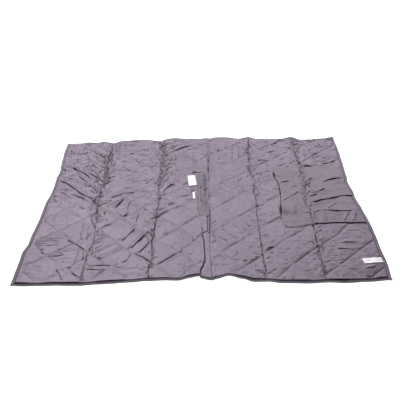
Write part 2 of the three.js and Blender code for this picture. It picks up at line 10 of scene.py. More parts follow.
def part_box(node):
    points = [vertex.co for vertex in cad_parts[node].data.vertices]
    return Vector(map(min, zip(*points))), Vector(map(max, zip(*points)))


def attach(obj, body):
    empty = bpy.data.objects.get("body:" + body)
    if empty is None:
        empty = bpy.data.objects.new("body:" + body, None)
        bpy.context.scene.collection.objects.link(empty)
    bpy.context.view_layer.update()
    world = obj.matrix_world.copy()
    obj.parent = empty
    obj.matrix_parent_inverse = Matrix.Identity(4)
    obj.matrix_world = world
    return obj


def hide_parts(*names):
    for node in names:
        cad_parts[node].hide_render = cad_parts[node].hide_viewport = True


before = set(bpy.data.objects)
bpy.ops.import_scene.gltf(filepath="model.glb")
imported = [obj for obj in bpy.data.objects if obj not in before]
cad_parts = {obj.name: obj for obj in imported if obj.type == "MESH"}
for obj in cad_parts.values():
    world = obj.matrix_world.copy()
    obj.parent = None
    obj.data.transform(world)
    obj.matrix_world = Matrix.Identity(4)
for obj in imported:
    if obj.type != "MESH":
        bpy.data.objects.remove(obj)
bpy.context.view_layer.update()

# Sizes are in millimetres on the plan that the part is drawn on, as in its source: x to the right, y away
# from the viewer, z up. Meshes are turned into metres in the row's frame when they are made.
MM = 0.001
GAP = 0.35
BAND_WIDTH = 14.0
ROWS = 56
FRONT_Y = -765.0
BACK_Y = 820.0
ROW_STEP = (BACK_Y - FRONT_Y) / ROWS
COLUMN_STEP = 33.0
EDGE_ROWS = 7

# One crossing of the stitch lines as (column, row), and the cells between parallel lines
CROSSING = (28, 8)
DIAMOND_CELLS = 8
LINE_STEP = 21.5
STITCHED_THICKNESS = 3.0
LOFT = 4.4
LOFT_FULLNESS = 0.6
SEAM_REACH = 6.0
RIM_THICKNESS = 2.6
RIM_LAP = 6.5
RIM_RISE = 7.0
RIM_BULGE = 2.6
TONGUE = 9.0

COLUMN = {
    "left": 0, "seam_one": 11, "seam_two": 23, "centre": 34,
    "seam_four": 43, "mouth": 48, "seam_five": 53, "right": 63,
}
SEAMS = ("seam_one", "seam_two", "seam_four", "seam_five")
POCKET = {"first": 48, "last": 63, "bottom": 16, "top": 40}
FACING = {"left": -17, "right": 54, "bottom": -190, "top": 316}
FLY_TOP_ROW = 20
FLY_END = 0.35
FLY_COLUMNS = 2
FLY_CLEARANCE = 0.1
SEAM_GAP = 0.04

# Paths from front to back: where each sewn column lies, as (y, x)
PATHS = {
    "left": [(-780, -1027), (-600, -1030), (-520, -1034), (-430, -1018), (-360, -1019), (-200, -1011),
             (-20, -1012), (100, -1001), (180, -1001), (280, -1006), (380, -999), (430, -1009), (530, -1017),
             (640, -1026), (830, -1026)],
    "seam_one": [(-780, -660), (-550, -658), (-440, -640), (-200, -652), (0, -675), (150, -680),
                 (330, -663), (560, -678), (830, -674)],
    "seam_two": [(-780, -280), (-690, -290), (-600, -276), (-440, -286), (-280, -279), (-60, -270),
                 (120, -281), (500, -275), (830, -300)],
    "centre": [(-780, 66), (-400, 61), (-200, 64), (340, 66), (830, 68)],
    "seam_four": [(-780, 360), (-680, 371), (-540, 366), (-200, 366), (-50, 376), (60, 364), (170, 385),
                  (340, 361), (540, 370), (830, 386)],
    "mouth": [(-780, 530), (-320, 530), (-220, 522), (-110, 528), (20, 550), (160, 548), (320, 530),
              (830, 545)],
    "seam_five": [(-780, 690), (-600, 696), (-300, 704), (-190, 712), (-80, 698), (60, 711), (340, 731),
                  (540, 715), (650, 725), (830, 720)],
    "right": [(-780, 1033), (-640, 1044), (-540, 1041), (-440, 1045), (-340, 1044), (-250, 1040), (-170, 1032),
              (-20, 1018), (35, 1021), (150, 1011), (250, 1021), (400, 1032), (640, 1041), (830, 1040)],
}
FREE_EDGE = [(-780, 2), (-736, 2), (-700, 6), (-664, 18), (-607, 29), (-450, 25), (-393, 18), (-369, 17),
             (-343, 50), (-185, 49)]
FREE_EDGE_COLUMNS = 6
HEM_LEFT = [(-1050, -784), (-960, -790), (-800, -789), (-660, -794), (-560, -786), (-500, -782), (-380, -775),
            (-290, -766), (-200, -764), (-120, -767), (-55, -753), (5, -742)]
HEM_RIGHT = [(0, -757), (68, -772), (95, -765), (160, -747), (235, -767), (300, -788), (370, -787),
             (450, -800), (600, -806), (700, -801), (800, -808), (900, -802), (1055, -791)]
BACK = [(-1050, 778), (-925, 781), (-880, 790), (-805, 784), (-750, 795), (-670, 774), (-615, 806),
        (-500, 811), (-400, 812), (-310, 790), (-250, 821), (-190, 827), (-60, 818), (0, 816), (50, 826),
        (85, 820), (130, 837), (200, 835), (320, 807), (385, 809), (460, 798), (560, 790), (640, 791),
        (725, 794), (785, 771), (870, 772), (920, 782), (960, 782), (1055, 792)]
POCKET_DRIFT = {
    "bottom": [(480, 0), (540, -20), (620, -15), (705, 12), (870, 20), (1055, 16)],
    "top": [(480, 0), (540, -12), (720, 4), (780, 22), (1055, 34)],
}
DRIFT_ROWS = 4

# Places where an edge stands up off the floor: x, y, height and reach along each axis
LIFTS = [
    (385, 835, 15, 42, 95), (722, 815, 16, 46, 110), (160, -770, 13, 80, 75), (-25, -760, 8, 50, 90),
    (-215, 860, 9, 70, 80), (-880, 820, 6, 40, 60), (-752, 825, 7, 40, 60), (1040, 815, 9, 50, 60),
    (-480, 850, 6, 90, 70), (-1020, 400, 7, 60, 45),
]

# Creases, most of which carry a painted dark line of shade: kind, strength, width, and the line's points
# as they are seen on the floor's level. A fold's ridge stands on the left of its line, on the way from its
# first point to its last, so a line that runs to the right falls off towards the viewer. A groove is sunk
# between two low rims, and a ridge is a soft raised line.
CREASES = [
    # first column, back to front
    ("fold", 5, 20, [(-1004, 695), (-974, 659), (-934, 638), (-888, 634), (-845, 652)]),
    ("fold", 9, 20, [(-834, 663), (-802, 645), (-766, 613), (-738, 584), (-713, 556),
                     (-695, 520), (-684, 484)]),
    ("fold", 5, 14, [(-756, 702), (-731, 674), (-709, 649)]),
    ("fold", 6, 12, [(-752, 634), (-727, 606), (-702, 563), (-689, 534)]),
    ("fold", 7, 12, [(-716, 506), (-695, 463), (-681, 413), (-663, 356)]),
    ("fold", 3, 12, [(-899, 584), (-859, 556), (-831, 520), (-813, 499)]),
    ("fold", 8, 14, [(-806, 481), (-781, 452), (-752, 416)]),
    ("fold", 4, 12, [(-752, 470), (-709, 441)]),
    ("fold", 4, 14, [(-938, 509), (-899, 507), (-866, 513)]),
    ("fold", 13, 26, [(-1030, 424), (-1005, 404), (-981, 395), (-965, 402)]),
    ("fold", 4, 16, [(-1010, 459), (-945, 441)]),
    ("fold", 13, 20, [(-938, 438), (-909, 409), (-874, 384), (-852, 370), (-816, 334),
                      (-784, 291), (-774, 263)]),
    ("fold", 8, 13, [(-791, 395), (-759, 363), (-738, 327), (-724, 299), (-709, 270)]),
    ("fold", 5, 10, [(-713, 413), (-702, 384), (-688, 349), (-673, 320)]),
    ("fold", 9, 15, [(-874, 331), (-845, 291), (-809, 256), (-784, 231)]),
    ("fold", 10, 15, [(-795, 213), (-766, 191), (-749, 177), (-724, 149), (-702, 120)]),
    ("fold", 12, 24, [(-988, 256), (-945, 238), (-916, 213), (-888, 181), (-859, 152), (-827, 116), (-795, 88),
                      (-745, 49), (-709, 27)]),
    ("fold", 9, 18, [(-888, 91), (-845, 70), (-809, 52), (-774, 31), (-749, -2)]),
    ("fold", 3, 16, [(-988, 156), (-938, 147), (-900, 150)]),
    ("fold", 3, 12, [(-795, -57), (-777, -71), (-749, -82)]),
    ("fold", 6, 10, [(-720, -43), (-702, -64), (-684, -100)]),
    ("fold", 7, 12, [(-706, -157), (-688, -200), (-673, -229), (-655, -280)]),
    ("fold", 8, 16, [(-733, -221), (-732, -293), (-729, -350), (-724, -393)]),
    ("fold", 9, 20, [(-809, -389), (-766, -418), (-724, -450), (-691, -475), (-666, -507), (-649, -532)]),
    ("fold", 9, 16, [(-716, -475), (-720, -521), (-724, -579), (-720, -614)]),
    ("fold", 7, 10, [(-638, -436), (-636, -507), (-631, -550)]),
    ("fold", 6, 14, [(-852, -482), (-827, -475), (-806, -454), (-791, -443)]),
    ("fold", 3, 12, [(-816, -497), (-770, -495), (-724, -495)]),
    ("fold", 3, 10, [(-950, -481), (-920, -480)]),
    ("fold", 0.5, 16, [(-995, -360), (-920, -364), (-840, -356)]),
    ("fold", 1, 16, [(-1000, -396), (-920, -398), (-850, -392)]),
    ("fold", 0.5, 16, [(-990, -440), (-900, -444), (-850, -436)]),
    ("ridge", 4, 14, [(-1000, -376), (-920, -380), (-845, -372)]),
    ("ridge", 4, 14, [(-1000, -416), (-920, -420), (-845, -412)]),
    ("fold", 6, 14, [(-824, -643), (-802, -671), (-781, -707), (-769, -739)]),
    ("fold", 4, 12, [(-838, -586), (-816, -625)]),
    ("fold", 5, 12, [(-795, -632), (-774, -664)]),
    ("fold", 4, 14, [(-766, -636), (-745, -640), (-724, -629)]),
    ("fold", 5, 14, [(-716, -671), (-702, -707), (-673, -743)]),
    ("fold", 3, 10, [(-800, 712), (-781, 721), (-760, 715)]),
    ("fold", 2, 9, [(-850, 598), (-835, 548), (-815, 508), (-796, 474)]),
    ("fold", 4, 9, [(-790, 103), (-740, 58), (-720, 43), (-708, 28)]),
    ("fold", 3, 8, [(-862, -499), (-832, -497), (-805, -499)]),
    ("fold", 3, 9, [(-890, -540), (-840, -537), (-790, -532)]),
    ("fold", 2, 7, [(-840, -515), (-800, -515)]),
    ("fold", 3, 8, [(-948, -508), (-918, -506)]),
    ("groove", 3, 8, [(-725, 718), (-722, 655)]),
    ("groove", 3, 8, [(-709, 738), (-712, 670), (-706, 600)]),
    ("groove", 2, 7, [(-931, 486), (-926, 430)]),
    ("groove", 2, 7, [(-916, 482), (-909, 436)]),
    ("groove", 2, 7, [(-920, 354), (-917, 325)]),
    ("groove", 2, 7, [(-965, 318), (-961, 292)]),
    ("groove", 4, 8, [(-996, -165), (-989, -214)]),
    ("groove", 5, 8, [(-681, -429), (-670, -466)]),
    ("ridge", 5, 16, [(-845, 250), (-800, 205), (-760, 180)]),
    ("ridge", 5, 18, [(-930, 300), (-890, 262), (-850, 226)]),
    ("ridge", 4, 14, [(-800, 640), (-760, 600), (-735, 560)]),
    # beside and along the first seam
    ("groove", 10, 10, [(-684, 612), (-684, 580), (-677, 530), (-674, 440), (-669, 400), (-668, 345),
                        (-660, 290), (-650, 230)]),
    ("groove", 8, 8, [(-693, 392), (-681, 355), (-669, 328)]),
    ("groove", 5, 8, [(-670, 634), (-681, 563)]),
    ("fold", 7, 9, [(-711, 220), (-694, 200), (-681, 182)]),
    ("groove", 8, 8, [(-690, 170), (-688, 140), (-683, 110)]),
    ("groove", 6, 8, [(-671, 184), (-665, 160), (-652, 140)]),
    ("groove", 4, 8, [(-699, 75), (-690, 45), (-681, 12)]),
    ("groove", 8, 8, [(-695, 36), (-683, 10), (-674, -18)]),
    ("groove", 12, 9, [(-685, -43), (-677, -75), (-667, -107), (-665, -164)]),
    ("groove", 6, 8, [(-654, -171), (-653, -222)]),
    ("groove", 8, 8, [(-660, -255), (-653, -280), (-650, -300)]),
    ("groove", 5, 7, [(-660, -308), (-656, -340)]),
    ("groove", 10, 9, [(-668, -520), (-666, -557), (-655, -595)]),
    ("groove", 5, 8, [(-672, -614), (-667, -664), (-660, -716)]),
    # second column
    ("groove", 5, 12, [(-624, 799), (-624, 727), (-632, 634)]),
    ("fold", 3, 24, [(-624, 377), (-581, 377), (-538, 388), (-495, 377), (-470, 341)]),
    ("fold", 3, 20, [(-488, 692), (-470, 672), (-440, 674), (-385, 680)]),
    ("fold", 3, 16, [(-480, 560), (-470, 505), (-445, 480), (-420, 470)]),
    ("fold", 4, 9, [(-595, 98), (-606, 120), (-618, 148)]),
    ("fold", 3, 10, [(-445, 96), (-400, 103), (-345, 103)]),
    ("ridge", 6, 20, [(-435, 22), (-385, 58), (-322, 76)]),
    ("ridge", 6, 18, [(-598, -570), (-545, -535), (-500, -505), (-462, -470)]),
    ("ridge", 5, 20, [(-648, 300), (-615, 303), (-590, 300)]),
    ("ridge", 5, 22, [(-640, 560), (-615, 552), (-590, 548)]),
    ("ridge", 4, 14, [(-560, 404), (-535, 406), (-515, 404)]),
    ("groove", 2, 7, [(-420, -54), (-420, -84)]),
    ("groove", 2, 7, [(-479, -190), (-476, -240)]),
    ("fold", 3, 10, [(-598, -335), (-570, -358), (-540, -382)]),
    ("fold", 7, 24, [(-600, 36), (-566, 52), (-545, 72), (-488, 99), (-438, 99)]),
    ("fold", 5, 16, [(-377, 198), (-359, 216), (-331, 231), (-295, 234)]),
    ("fold", 5, 14, [(-366, 413), (-345, 427), (-324, 441), (-309, 470)]),
    ("fold", 16, 30, [(-548, -72), (-538, -36), (-527, -7), (-513, 18), (-498, 34)]),
    ("fold", 8, 18, [(-495, -164), (-474, -157), (-465, -121), (-470, -79), (-470, -29),
                     (-459, -5), (-445, 10)]),
    ("fold", 4, 14, [(-549, -93), (-524, -136), (-502, -171)]),
    ("fold", 9, 16, [(-388, -64), (-366, -89), (-345, -110)]),
    ("fold", 9, 20, [(-399, -236), (-402, -193), (-391, -164), (-391, -136)]),
    ("fold", 9, 18, [(-470, -411), (-445, -379), (-441, -357), (-427, -329), (-399, -293)]),
    ("fold", 17, 30, [(-405, -475), (-395, -457), (-377, -429), (-359, -393), (-331, -350), (-318, -310)]),
    ("fold", 7, 14, [(-420, -486), (-424, -443)]),
    ("fold", 11, 18, [(-359, -521), (-331, -471), (-309, -436), (-298, -410)]),
    ("fold", 7, 14, [(-452, -607), (-420, -582), (-409, -557), (-406, -514)]),
    ("fold", 5, 14, [(-509, -500), (-466, -464)]),
    ("fold", 6, 18, [(-634, -627), (-588, -629), (-552, -621), (-509, -624)]),
    ("fold", 4, 14, [(-652, -656), (-588, -661), (-538, -661)]),
    ("fold", 4, 14, [(-488, -643), (-409, -639)]),
    ("fold", 4, 16, [(-590, -252), (-570, -254)]),
    ("groove", 14, 12, [(-284, -205), (-279, -264), (-279, -321), (-284, -379), (-291, -441)]),
    ("groove", 6, 9, [(-301, -290), (-297, -366)]),
    ("groove", 8, 9, [(-307, 777), (-306, 740), (-306, 690)]),
    ("groove", 5, 8, [(-320, 656), (-319, 610), (-319, 550)]),
    ("groove", 5, 8, [(-296, 610), (-294, 560), (-289, 470)]),
    ("groove", 6, 8, [(-399, -455), (-401, -492)]),
    ("groove", 6, 8, [(-354, -610), (-357, -657)]),
    ("groove", 8, 8, [(-320, -203), (-316, -230), (-317, -262)]),
    ("groove", 8, 8, [(-303, -92), (-299, -112), (-296, -134)]),
    ("groove", 10, 9, [(-279, -70), (-277, -110), (-278, -150)]),
    ("groove", 5, 8, [(-301, -507), (-298, -540), (-295, -562)]),
    ("groove", 8, 8, [(-272, -468), (-271, -520), (-269, -588)]),
    ("groove", 10, 10, [(-301, -612), (-289, -638), (-287, -655), (-303, -685), (-300, -735)]),
    ("fold", 6, 9, [(-392, -520), (-356, -541), (-320, -567), (-293, -595), (-281, -615)]),
    ("fold", 9, 12, [(-325, -200), (-309, -196), (-289, -184), (-266, -165)]),
    # third column
    ("fold", 10, 16, [(-273, -186), (-259, -157), (-223, -129), (-194, -104)]),
    ("fold", 6, 18, [(-212, -57), (-187, -39), (-159, -32)]),
    ("fold", 5, 14, [(-159, 21), (-125, 34), (-101, 43), (-66, 58)]),
    ("groove", 7, 12, [(-237, 627), (-251, 563), (-269, 513), (-276, 470)]),
    ("groove", 10, 14, [(-226, 391), (-244, 349), (-259, 306), (-273, 249)]),
    ("fold", 7, 12, [(-223, 395), (-207, 406), (-191, 413)]),
    ("groove", 7, 12, [(-234, 256), (-248, 191), (-259, 141)]),
    ("fold", 4, 14, [(-230, 270), (-201, 320), (-173, 363), (-144, 384)]),
    ("fold", 7, 14, [(-251, 84), (-237, 127), (-201, 170), (-166, 191)]),
    ("fold", 11, 20, [(-194, 652), (-151, 675), (-116, 697), (-80, 718), (-48, 731)]),
    ("fold", 5, 18, [(-259, 727), (-216, 763), (-180, 806)]),
    ("fold", 4, 14, [(-201, 699), (-159, 741)]),
    ("fold", 9, 16, [(-55, 338), (-30, 332), (-5, 331), (38, 334)]),
    ("fold", 7, 10, [(31, 407), (38, 370), (60, 345)]),
    ("fold", 4, 12, [(-194, -414), (-180, -393)]),
    ("fold", 5, 16, [(-44, -379), (-45, -421)]),
    ("fold", 5, 16, [(-69, -564), (-62, -607)]),
    ("fold", 5, 18, [(-91, -629), (-88, -710)]),
    ("fold", 4, 12, [(9, -250), (20, -321)]),
    ("fold", 3, 9, [(-160, -80), (-121, -62), (-90, -73), (-50, -100)]),
    ("fold", 3, 9, [(-140, -142), (-115, -158), (-85, -180)]),
    ("fold", 7, 16, [(-238, -614), (-204, -588), (-168, -554), (-122, -522), (-95, -504)]),
    ("ridge", 4, 16, [(-215, -610), (-160, -575), (-105, -530)]),
    ("groove", 5, 10, [(31, -640), (40, -665), (47, -690)]),
    ("groove", 14, 9, [(22, -400), (20, -345), (13, -288)]),
    ("groove", 5, 8, [(74, 613), (71, 560), (74, 520)]),
    ("groove", 7, 9, [(71, 500), (75, 463)]),
    ("groove", 4, 8, [(56, 611), (52, 520)]),
    ("groove", 6, 9, [(81, 727), (75, 684)]),
    ("groove", 14, 11, [(66, 384), (66, 350), (65, 312)]),
    ("groove", 5, 8, [(72, 250), (71, 222)]),
    ("groove", 5, 8, [(68, 166), (60, 113)]),
    ("groove", 11, 10, [(65, -90), (63, -120), (64, -215)]),
    ("groove", 4, 8, [(88, -640), (86, -700)]),
    # fourth column
    ("fold", 7, 12, [(77, -354), (95, -393), (99, -450)]),
    ("fold", 5, 16, [(134, -300), (184, -357), (220, -407)]),
    ("fold", 4, 14, [(99, -364), (134, -407), (163, -429)]),
    ("fold", 7, 12, [(288, -243), (296, -272), (306, -300)]),
    ("fold", 6, 12, [(263, -293), (277, -336), (299, -371)]),
    ("fold", 4, 10, [(234, -321), (255, -360)]),
    ("fold", 4, 14, [(291, -500), (334, -557)]),
    ("fold", 4, 14, [(238, -604), (277, -607)]),
    ("fold", 5, 14, [(127, 641), (156, 641), (184, 663), (206, 684)]),
    ("fold", 5, 14, [(188, 595), (215, 560), (241, 527)]),
    ("fold", 4, 16, [(263, 199), (299, 249), (306, 284)]),
    ("fold", 4, 26, [(245, 510), (250, 620), (258, 740)]),
    ("fold", 4, 26, [(296, 500), (300, 610), (304, 730)]),
    ("fold", 4, 14, [(306, 441), (327, 463)]),
    ("groove", 3, 9, [(201, 770), (200, 740), (206, 706)]),
    ("groove", 3, 8, [(313, -630), (318, -682)]),
    ("groove", 4, 8, [(341, -608), (349, -632)]),
    ("groove", 3, 8, [(145, -488), (147, -522)]),
    ("fold", 4, 9, [(200, -250), (213, -285), (226, -310)]),
    # fifth column
    ("groove", 7, 10, [(371, -217), (386, -250), (400, -279), (408, -302)]),
    ("fold", 7, 14, [(376, -93), (400, -76), (427, -57)]),
    ("fold", 4, 12, [(404, 138), (430, 103), (462, 76), (503, 68)]),
    ("fold", 3, 12, [(560, 397), (609, 418), (634, 460)]),
    ("ridge", 6, 16, [(432, 165), (480, 198), (522, 232)]),
    ("ridge", 6, 12, [(362, 320), (385, 322), (404, 320)]),
    ("ridge", 6, 11, [(358, 142), (375, 144), (390, 142)]),
    ("groove", 4, 8, [(568, -535), (569, -572)]),
    ("groove", 5, 8, [(611, -540), (606, -572)]),
    ("fold", 4, 9, [(638, -605), (663, -601), (672, -578)]),
    ("fold", 5, 12, [(409, 470), (413, 440), (413, 413)]),
    ("fold", 5, 14, [(399, 356), (413, 270), (427, 227)]),
    ("fold", 5, 12, [(391, 631), (434, 631)]),
    ("fold", 9, 18, [(448, 638), (473, 666), (501, 683), (530, 695), (566, 716), (616, 756)]),
    ("fold", 4, 14, [(423, 481), (495, 481)]),
    ("fold", 4, 14, [(437, 427), (466, 449)]),
    ("fold", 5, 18, [(466, 320), (473, 338), (509, 334)]),
    ("fold", 9, 14, [(396, -516), (412, -497), (440, -484)]),
    ("groove", 6, 8, [(404, -478), (412, -500)]),
    ("fold", 4, 16, [(569, -543), (571, -585)]),
    # last column, in front of and behind the pocket
    ("fold", 5, 14, [(659, 434), (709, 470)]),
    ("fold", 8, 14, [(876, 402), (901, 420), (937, 434), (980, 449), (1005, 470)]),
    ("fold", 4, 24, [(787, 513), (794, 620)]),
    ("fold", 4, 24, [(830, 560), (838, 640)]),
    ("fold", 5, 14, [(830, -457), (880, -456), (930, -457)]),
    ("fold", 5, 16, [(801, -514), (873, -518), (916, -521)]),
    ("fold", 4, 14, [(816, -593), (819, -560), (816, -521)]),
    ("fold", 5, 14, [(976, -393), (983, -464)]),
    ("fold", 6, 18, [(925, -684), (960, -682), (994, -671)]),
    ("fold", 10, 10, [(719, 436), (735, 444), (752, 462)]),
    ("groove", 4, 8, [(726, -340), (724, -398)]),
    ("groove", 4, 8, [(757, -345), (752, -402)]),
    ("groove", 3, 8, [(785, -335), (775, -395)]),
    ("groove", 9, 10, [(722, 520), (717, 575)]),
    ("groove", 9, 9, [(714, 188), (711, 205)]),
    ("ridge", 4, 14, [(705, 430), (760, 425), (800, 428)]),
]

# Small sunk places: x, y, reach along each axis, and the darkness of the shade painted in them
PITS = [
    (-980, 70, 10, 10, 0.4), (-930, -17, 9, 10, 0.3), (-750, -187, 9, 12, 0.35), (-825, -700, 10, 10, 0.4),
    (-935, -478, 8, 8, 0.35), (-720, 253, 8, 12, 0.5), (-935, 428, 10, 10, 0.4), (-690, 318, 7, 12, 0.5),
    (-681, -350, 7, 16, 0.9), (-649, -743, 10, 12, 0.6), (-465, 218, 11, 20, 0.5), (-608, -53, 9, 18, 0.3),
    (-594, -400, 8, 14, 0.5), (-568, -249, 12, 8, 0.6), (-285, 706, 8, 12, 0.8), (-325, 616, 7, 14, 0.5),
    (-360, 420, 14, 14, 0.4), (-234, 751, 10, 9, 0.5), (-232, 524, 8, 8, 0.7), (-180, 812, 8, 10, 0.4),
    (-82, 666, 11, 9, 0.6), (6, 741, 12, 10, 0.6), (-32, 488, 14, 12, 0.35), (-175, 453, 14, 14, 0.25),
    (-128, 794, 10, 8, 0.3), (38, 722, 12, 8, 0.4), (75, 702, 10, 14, 0.5), (-273, -173, 12, 16, 1.0),
    (-83, -242, 12, 9, 0.6), (-48, -213, 9, 9, 0.4), (-235, -231, 14, 16, 0.35), (-206, -350, 14, 10, 0.5),
    (-160, -548, 22, 14, 0.35), (220, -536, 9, 22, 0.3), (295, 126, 8, 15, 0.5), (146, 655, 12, 12, 0.4),
    (133, -637, 10, 8, 0.6), (163, -637, 8, 7, 0.5), (97, -637, 12, 8, 0.4), (122, -569, 22, 14, 0.3),
    (253, -706, 18, 10, 0.5), (290, -730, 10, 8, 0.5), (308, -494, 12, 8, 0.35), (178, -227, 11, 12, 0.3),
    (335, -250, 18, 18, 0.25), (245, 490, 8, 12, 0.4), (148, 130, 14, 10, 0.3), (375, -78, 8, 16, 1.0),
    (372, -300, 10, 14, 0.6), (424, -539, 9, 12, 0.6), (634, -549, 7, 10, 0.8), (606, -636, 20, 9, 0.3),
    (420, -629, 9, 7, 0.3), (448, -629, 9, 7, 0.3), (468, -752, 8, 10, 0.6), (519, -752, 9, 11, 0.6),
    (403, 612, 8, 10, 0.4), (448, 580, 10, 12, 0.35), (570, 568, 18, 16, 0.25), (510, 113, 8, 12, 0.4),
    (402, 700, 8, 10, 0.3), (440, 520, 12, 12, 0.3), (516, -216, 10, 12, 1.0), (634, 778, 20, 13, 1.0),
    (700, 802, 26, 12, 1.0), (363, 812, 14, 9, 0.9), (-840, 786, 40, 7, 0.5), (-700, 780, 14, 9, 0.4),
    (-345, 799, 22, 8, 0.9), (-395, 815, 26, 7, 0.5), (764, 778, 7, 12, 0.7), (1010, 776, 12, 9, 0.7),
    (698, -492, 9, 11, 1.0), (705, -297, 10, 11, 1.0), (698, -718, 8, 12, 1.0), (703, -672, 8, 22, 0.9),
    (725, 448, 9, 10, 1.0), (930, 397, 8, 12, 0.7), (1004, -102, 14, 12, 0.5), (763, -742, 7, 14, 0.5),
    (795, -742, 7, 14, 0.4), (825, -742, 7, 14, 0.5), (853, -742, 7, 14, 0.4), (932, -755, 14, 12, 0.8),
    (870, -612, 24, 9, 0.3), (865, -690, 30, 10, 0.3), (895, -530, 24, 12, 0.3), (932, -528, 12, 9, 0.6),
    (790, -578, 20, 7, 0.35), (880, 570, 12, 7, 0.4), (936, 614, 10, 8, 0.5),
]

# Stitch lines that are sunk deeper than the rest and painted with more shade: strength, and where each
# stretch starts and ends
DEEP_LINES = [
    (0.35, (-965, -230), (-900, -290)), (0.35, (-800, -230), (-970, -360)), (0.4, (-905, -520), (-960, -590)),
    (0.35, (-975, -705), (-940, -735)), (0.4, (-760, -680), (-700, -730)), (0.6, (-230, 520), (-116, 627)),
    (0.5, (-116, 627), (70, 799)), (0.35, (-110, 625), (-15, 530)), (0.35, (-180, -230), (-80, -330)),
    (0.45, (-225, -360), (0, -180)), (0.35, (-290, -640), (-95, -490)), (0.15, (-95, -490), (-10, -410)),
    (0.4, (-225, -650), (-150, -720)), (0.75, (150, -690), (359, -579)), (0.45, (130, -65), (241, -179)),
    (0.5, (115, 175), (177, 222)), (0.6, (188, 595), (241, 527)), (0.35, (109, -271), (170, -236)),
    (0.6, (130, -50), (235, 25)), (0.55, (256, 60), (334, 125)), (0.4, (170, 377), (270, 277)),
    (0.55, (185, -478), (280, -400)), (0.45, (279, -516), (338, -580)), (0.5, (250, -195), (310, -140)),
    (0.8, (426, -284), (507, -214)), (0.7, (548, -398), (632, -350)), (0.9, (544, -632), (673, -490)),
    (0.8, (412, -743), (500, -673)), (0.6, (544, 490), (687, 599)), (0.8, (730, 441), (873, 556)),
    (0.9, (873, 556), (1030, 680)), (0.8, (730, 652), (901, 777)), (0.75, (700, -507), (866, -357)),
    (0.8, (800, -648), (1030, -447)), (1.0, (930, -763), (1030, -671)), (0.4, (480, 760), (600, 640)),
]

# Where the quilting strays from even spacing: column, row, and how far each set of lines is off, in cells
LINE_DRIFT = [
    (5.5, 9, 0, -0.5), (5.5, 21, 0.25, 0.25), (5.5, 33.5, 0.5, 0.7), (5.5, 46.5, 0.25, -0.5),
    (17, 9, 0, -0.7), (28, 9, -0.25, 0.5), (28, 21, -0.8, 0.5), (28, 46.5, -0.5, 0.25),
    (38.5, 9, 0, -0.8), (38.5, 21, -0.25, -0.5), (38.5, 33.5, -0.7, 0), (38.5, 46.5, -0.5, 0.5),
    (48, 21, 0.25, 0), (48, 33.5, -0.25, -0.5), (58, 9, 0, -0.7), (58, 46.5, -0.25, 0),
]

# How much shade is painted along each seam and the centre line, as (y, darkness); for the four seams it
# also sets how deep their valleys are
SEAM_SHADE = {
    "seam_one": [(-780, 0.3), (-600, 0.15), (-520, 0.2), (-430, 0), (-270, 0.1), (-60, 0.1), (120, 0.1),
                 (250, 0), (600, 0.1), (830, 0)],
    "seam_two": [(-780, 0.9), (-640, 0.9), (-590, 0.4), (-450, 0.6), (-430, 1), (-180, 1), (-60, 0.7),
                 (0, 0.3), (120, 0.4), (250, 0.6), (300, 0.3), (470, 0.6), (620, 0.5), (700, 0.6), (830, 0.2)],
    "centre": [(-780, 0.9), (-720, 0.5), (-600, 0.4), (-440, 0.35), (-380, 0.4), (-350, 1), (-215, 1),
               (-100, 0.8), (-80, 0.4), (20, 0.6), (100, 0.5), (180, 0.2), (235, 0.5), (270, 0.2),
               (330, 0.9), (370, 0.9),
               (400, 0.3), (450, 0.3), (495, 0.5), (520, 0.2), (560, 0.6), (617, 0.5), (640, 0.2), (700, 0.6),
               (730, 0.2), (830, 0.2)],
    "seam_four": [(-780, 0.9), (-600, 0.95), (-560, 0.8), (-530, 0.3), (-500, 0.8), (-390, 0.8), (-360, 0.3),
                  (-300, 0.5), (-250, 0.2), (-210, 0.8), (-150, 0.6), (-110, 0.2), (-70, 0.7), (0, 0.5),
                  (100, 0.5), (140, 0), (170, 0.7), (250, 0.8), (270, 0.3), (320, 0.9), (420, 0.7),
                  (540, 0.9), (555, 0.1), (577, 0.9), (600, 0.1), (620, 0.5), (645, 0.1), (670, 0.6),
                  (700, 0.1), (725, 0.4), (750, 0.1), (830, 0.1)],
    "seam_five": [(-780, 0.9), (-720, 0.8), (-700, 0.5), (-670, 0.9), (-640, 0.6), (-600, 0.9), (-490, 1),
                  (-470, 0.6), (-330, 0.7), (-300, 1), (-260, 0.5), (-30, 0.7), (60, 0.5), (170, 0.7),
                  (250, 0.5), (330, 0.3), (445, 0.9), (480, 0.5), (560, 0.8), (600, 0.4), (700, 0.4),
                  (780, 0.3), (810, 0.8), (830, 0.6)],
}

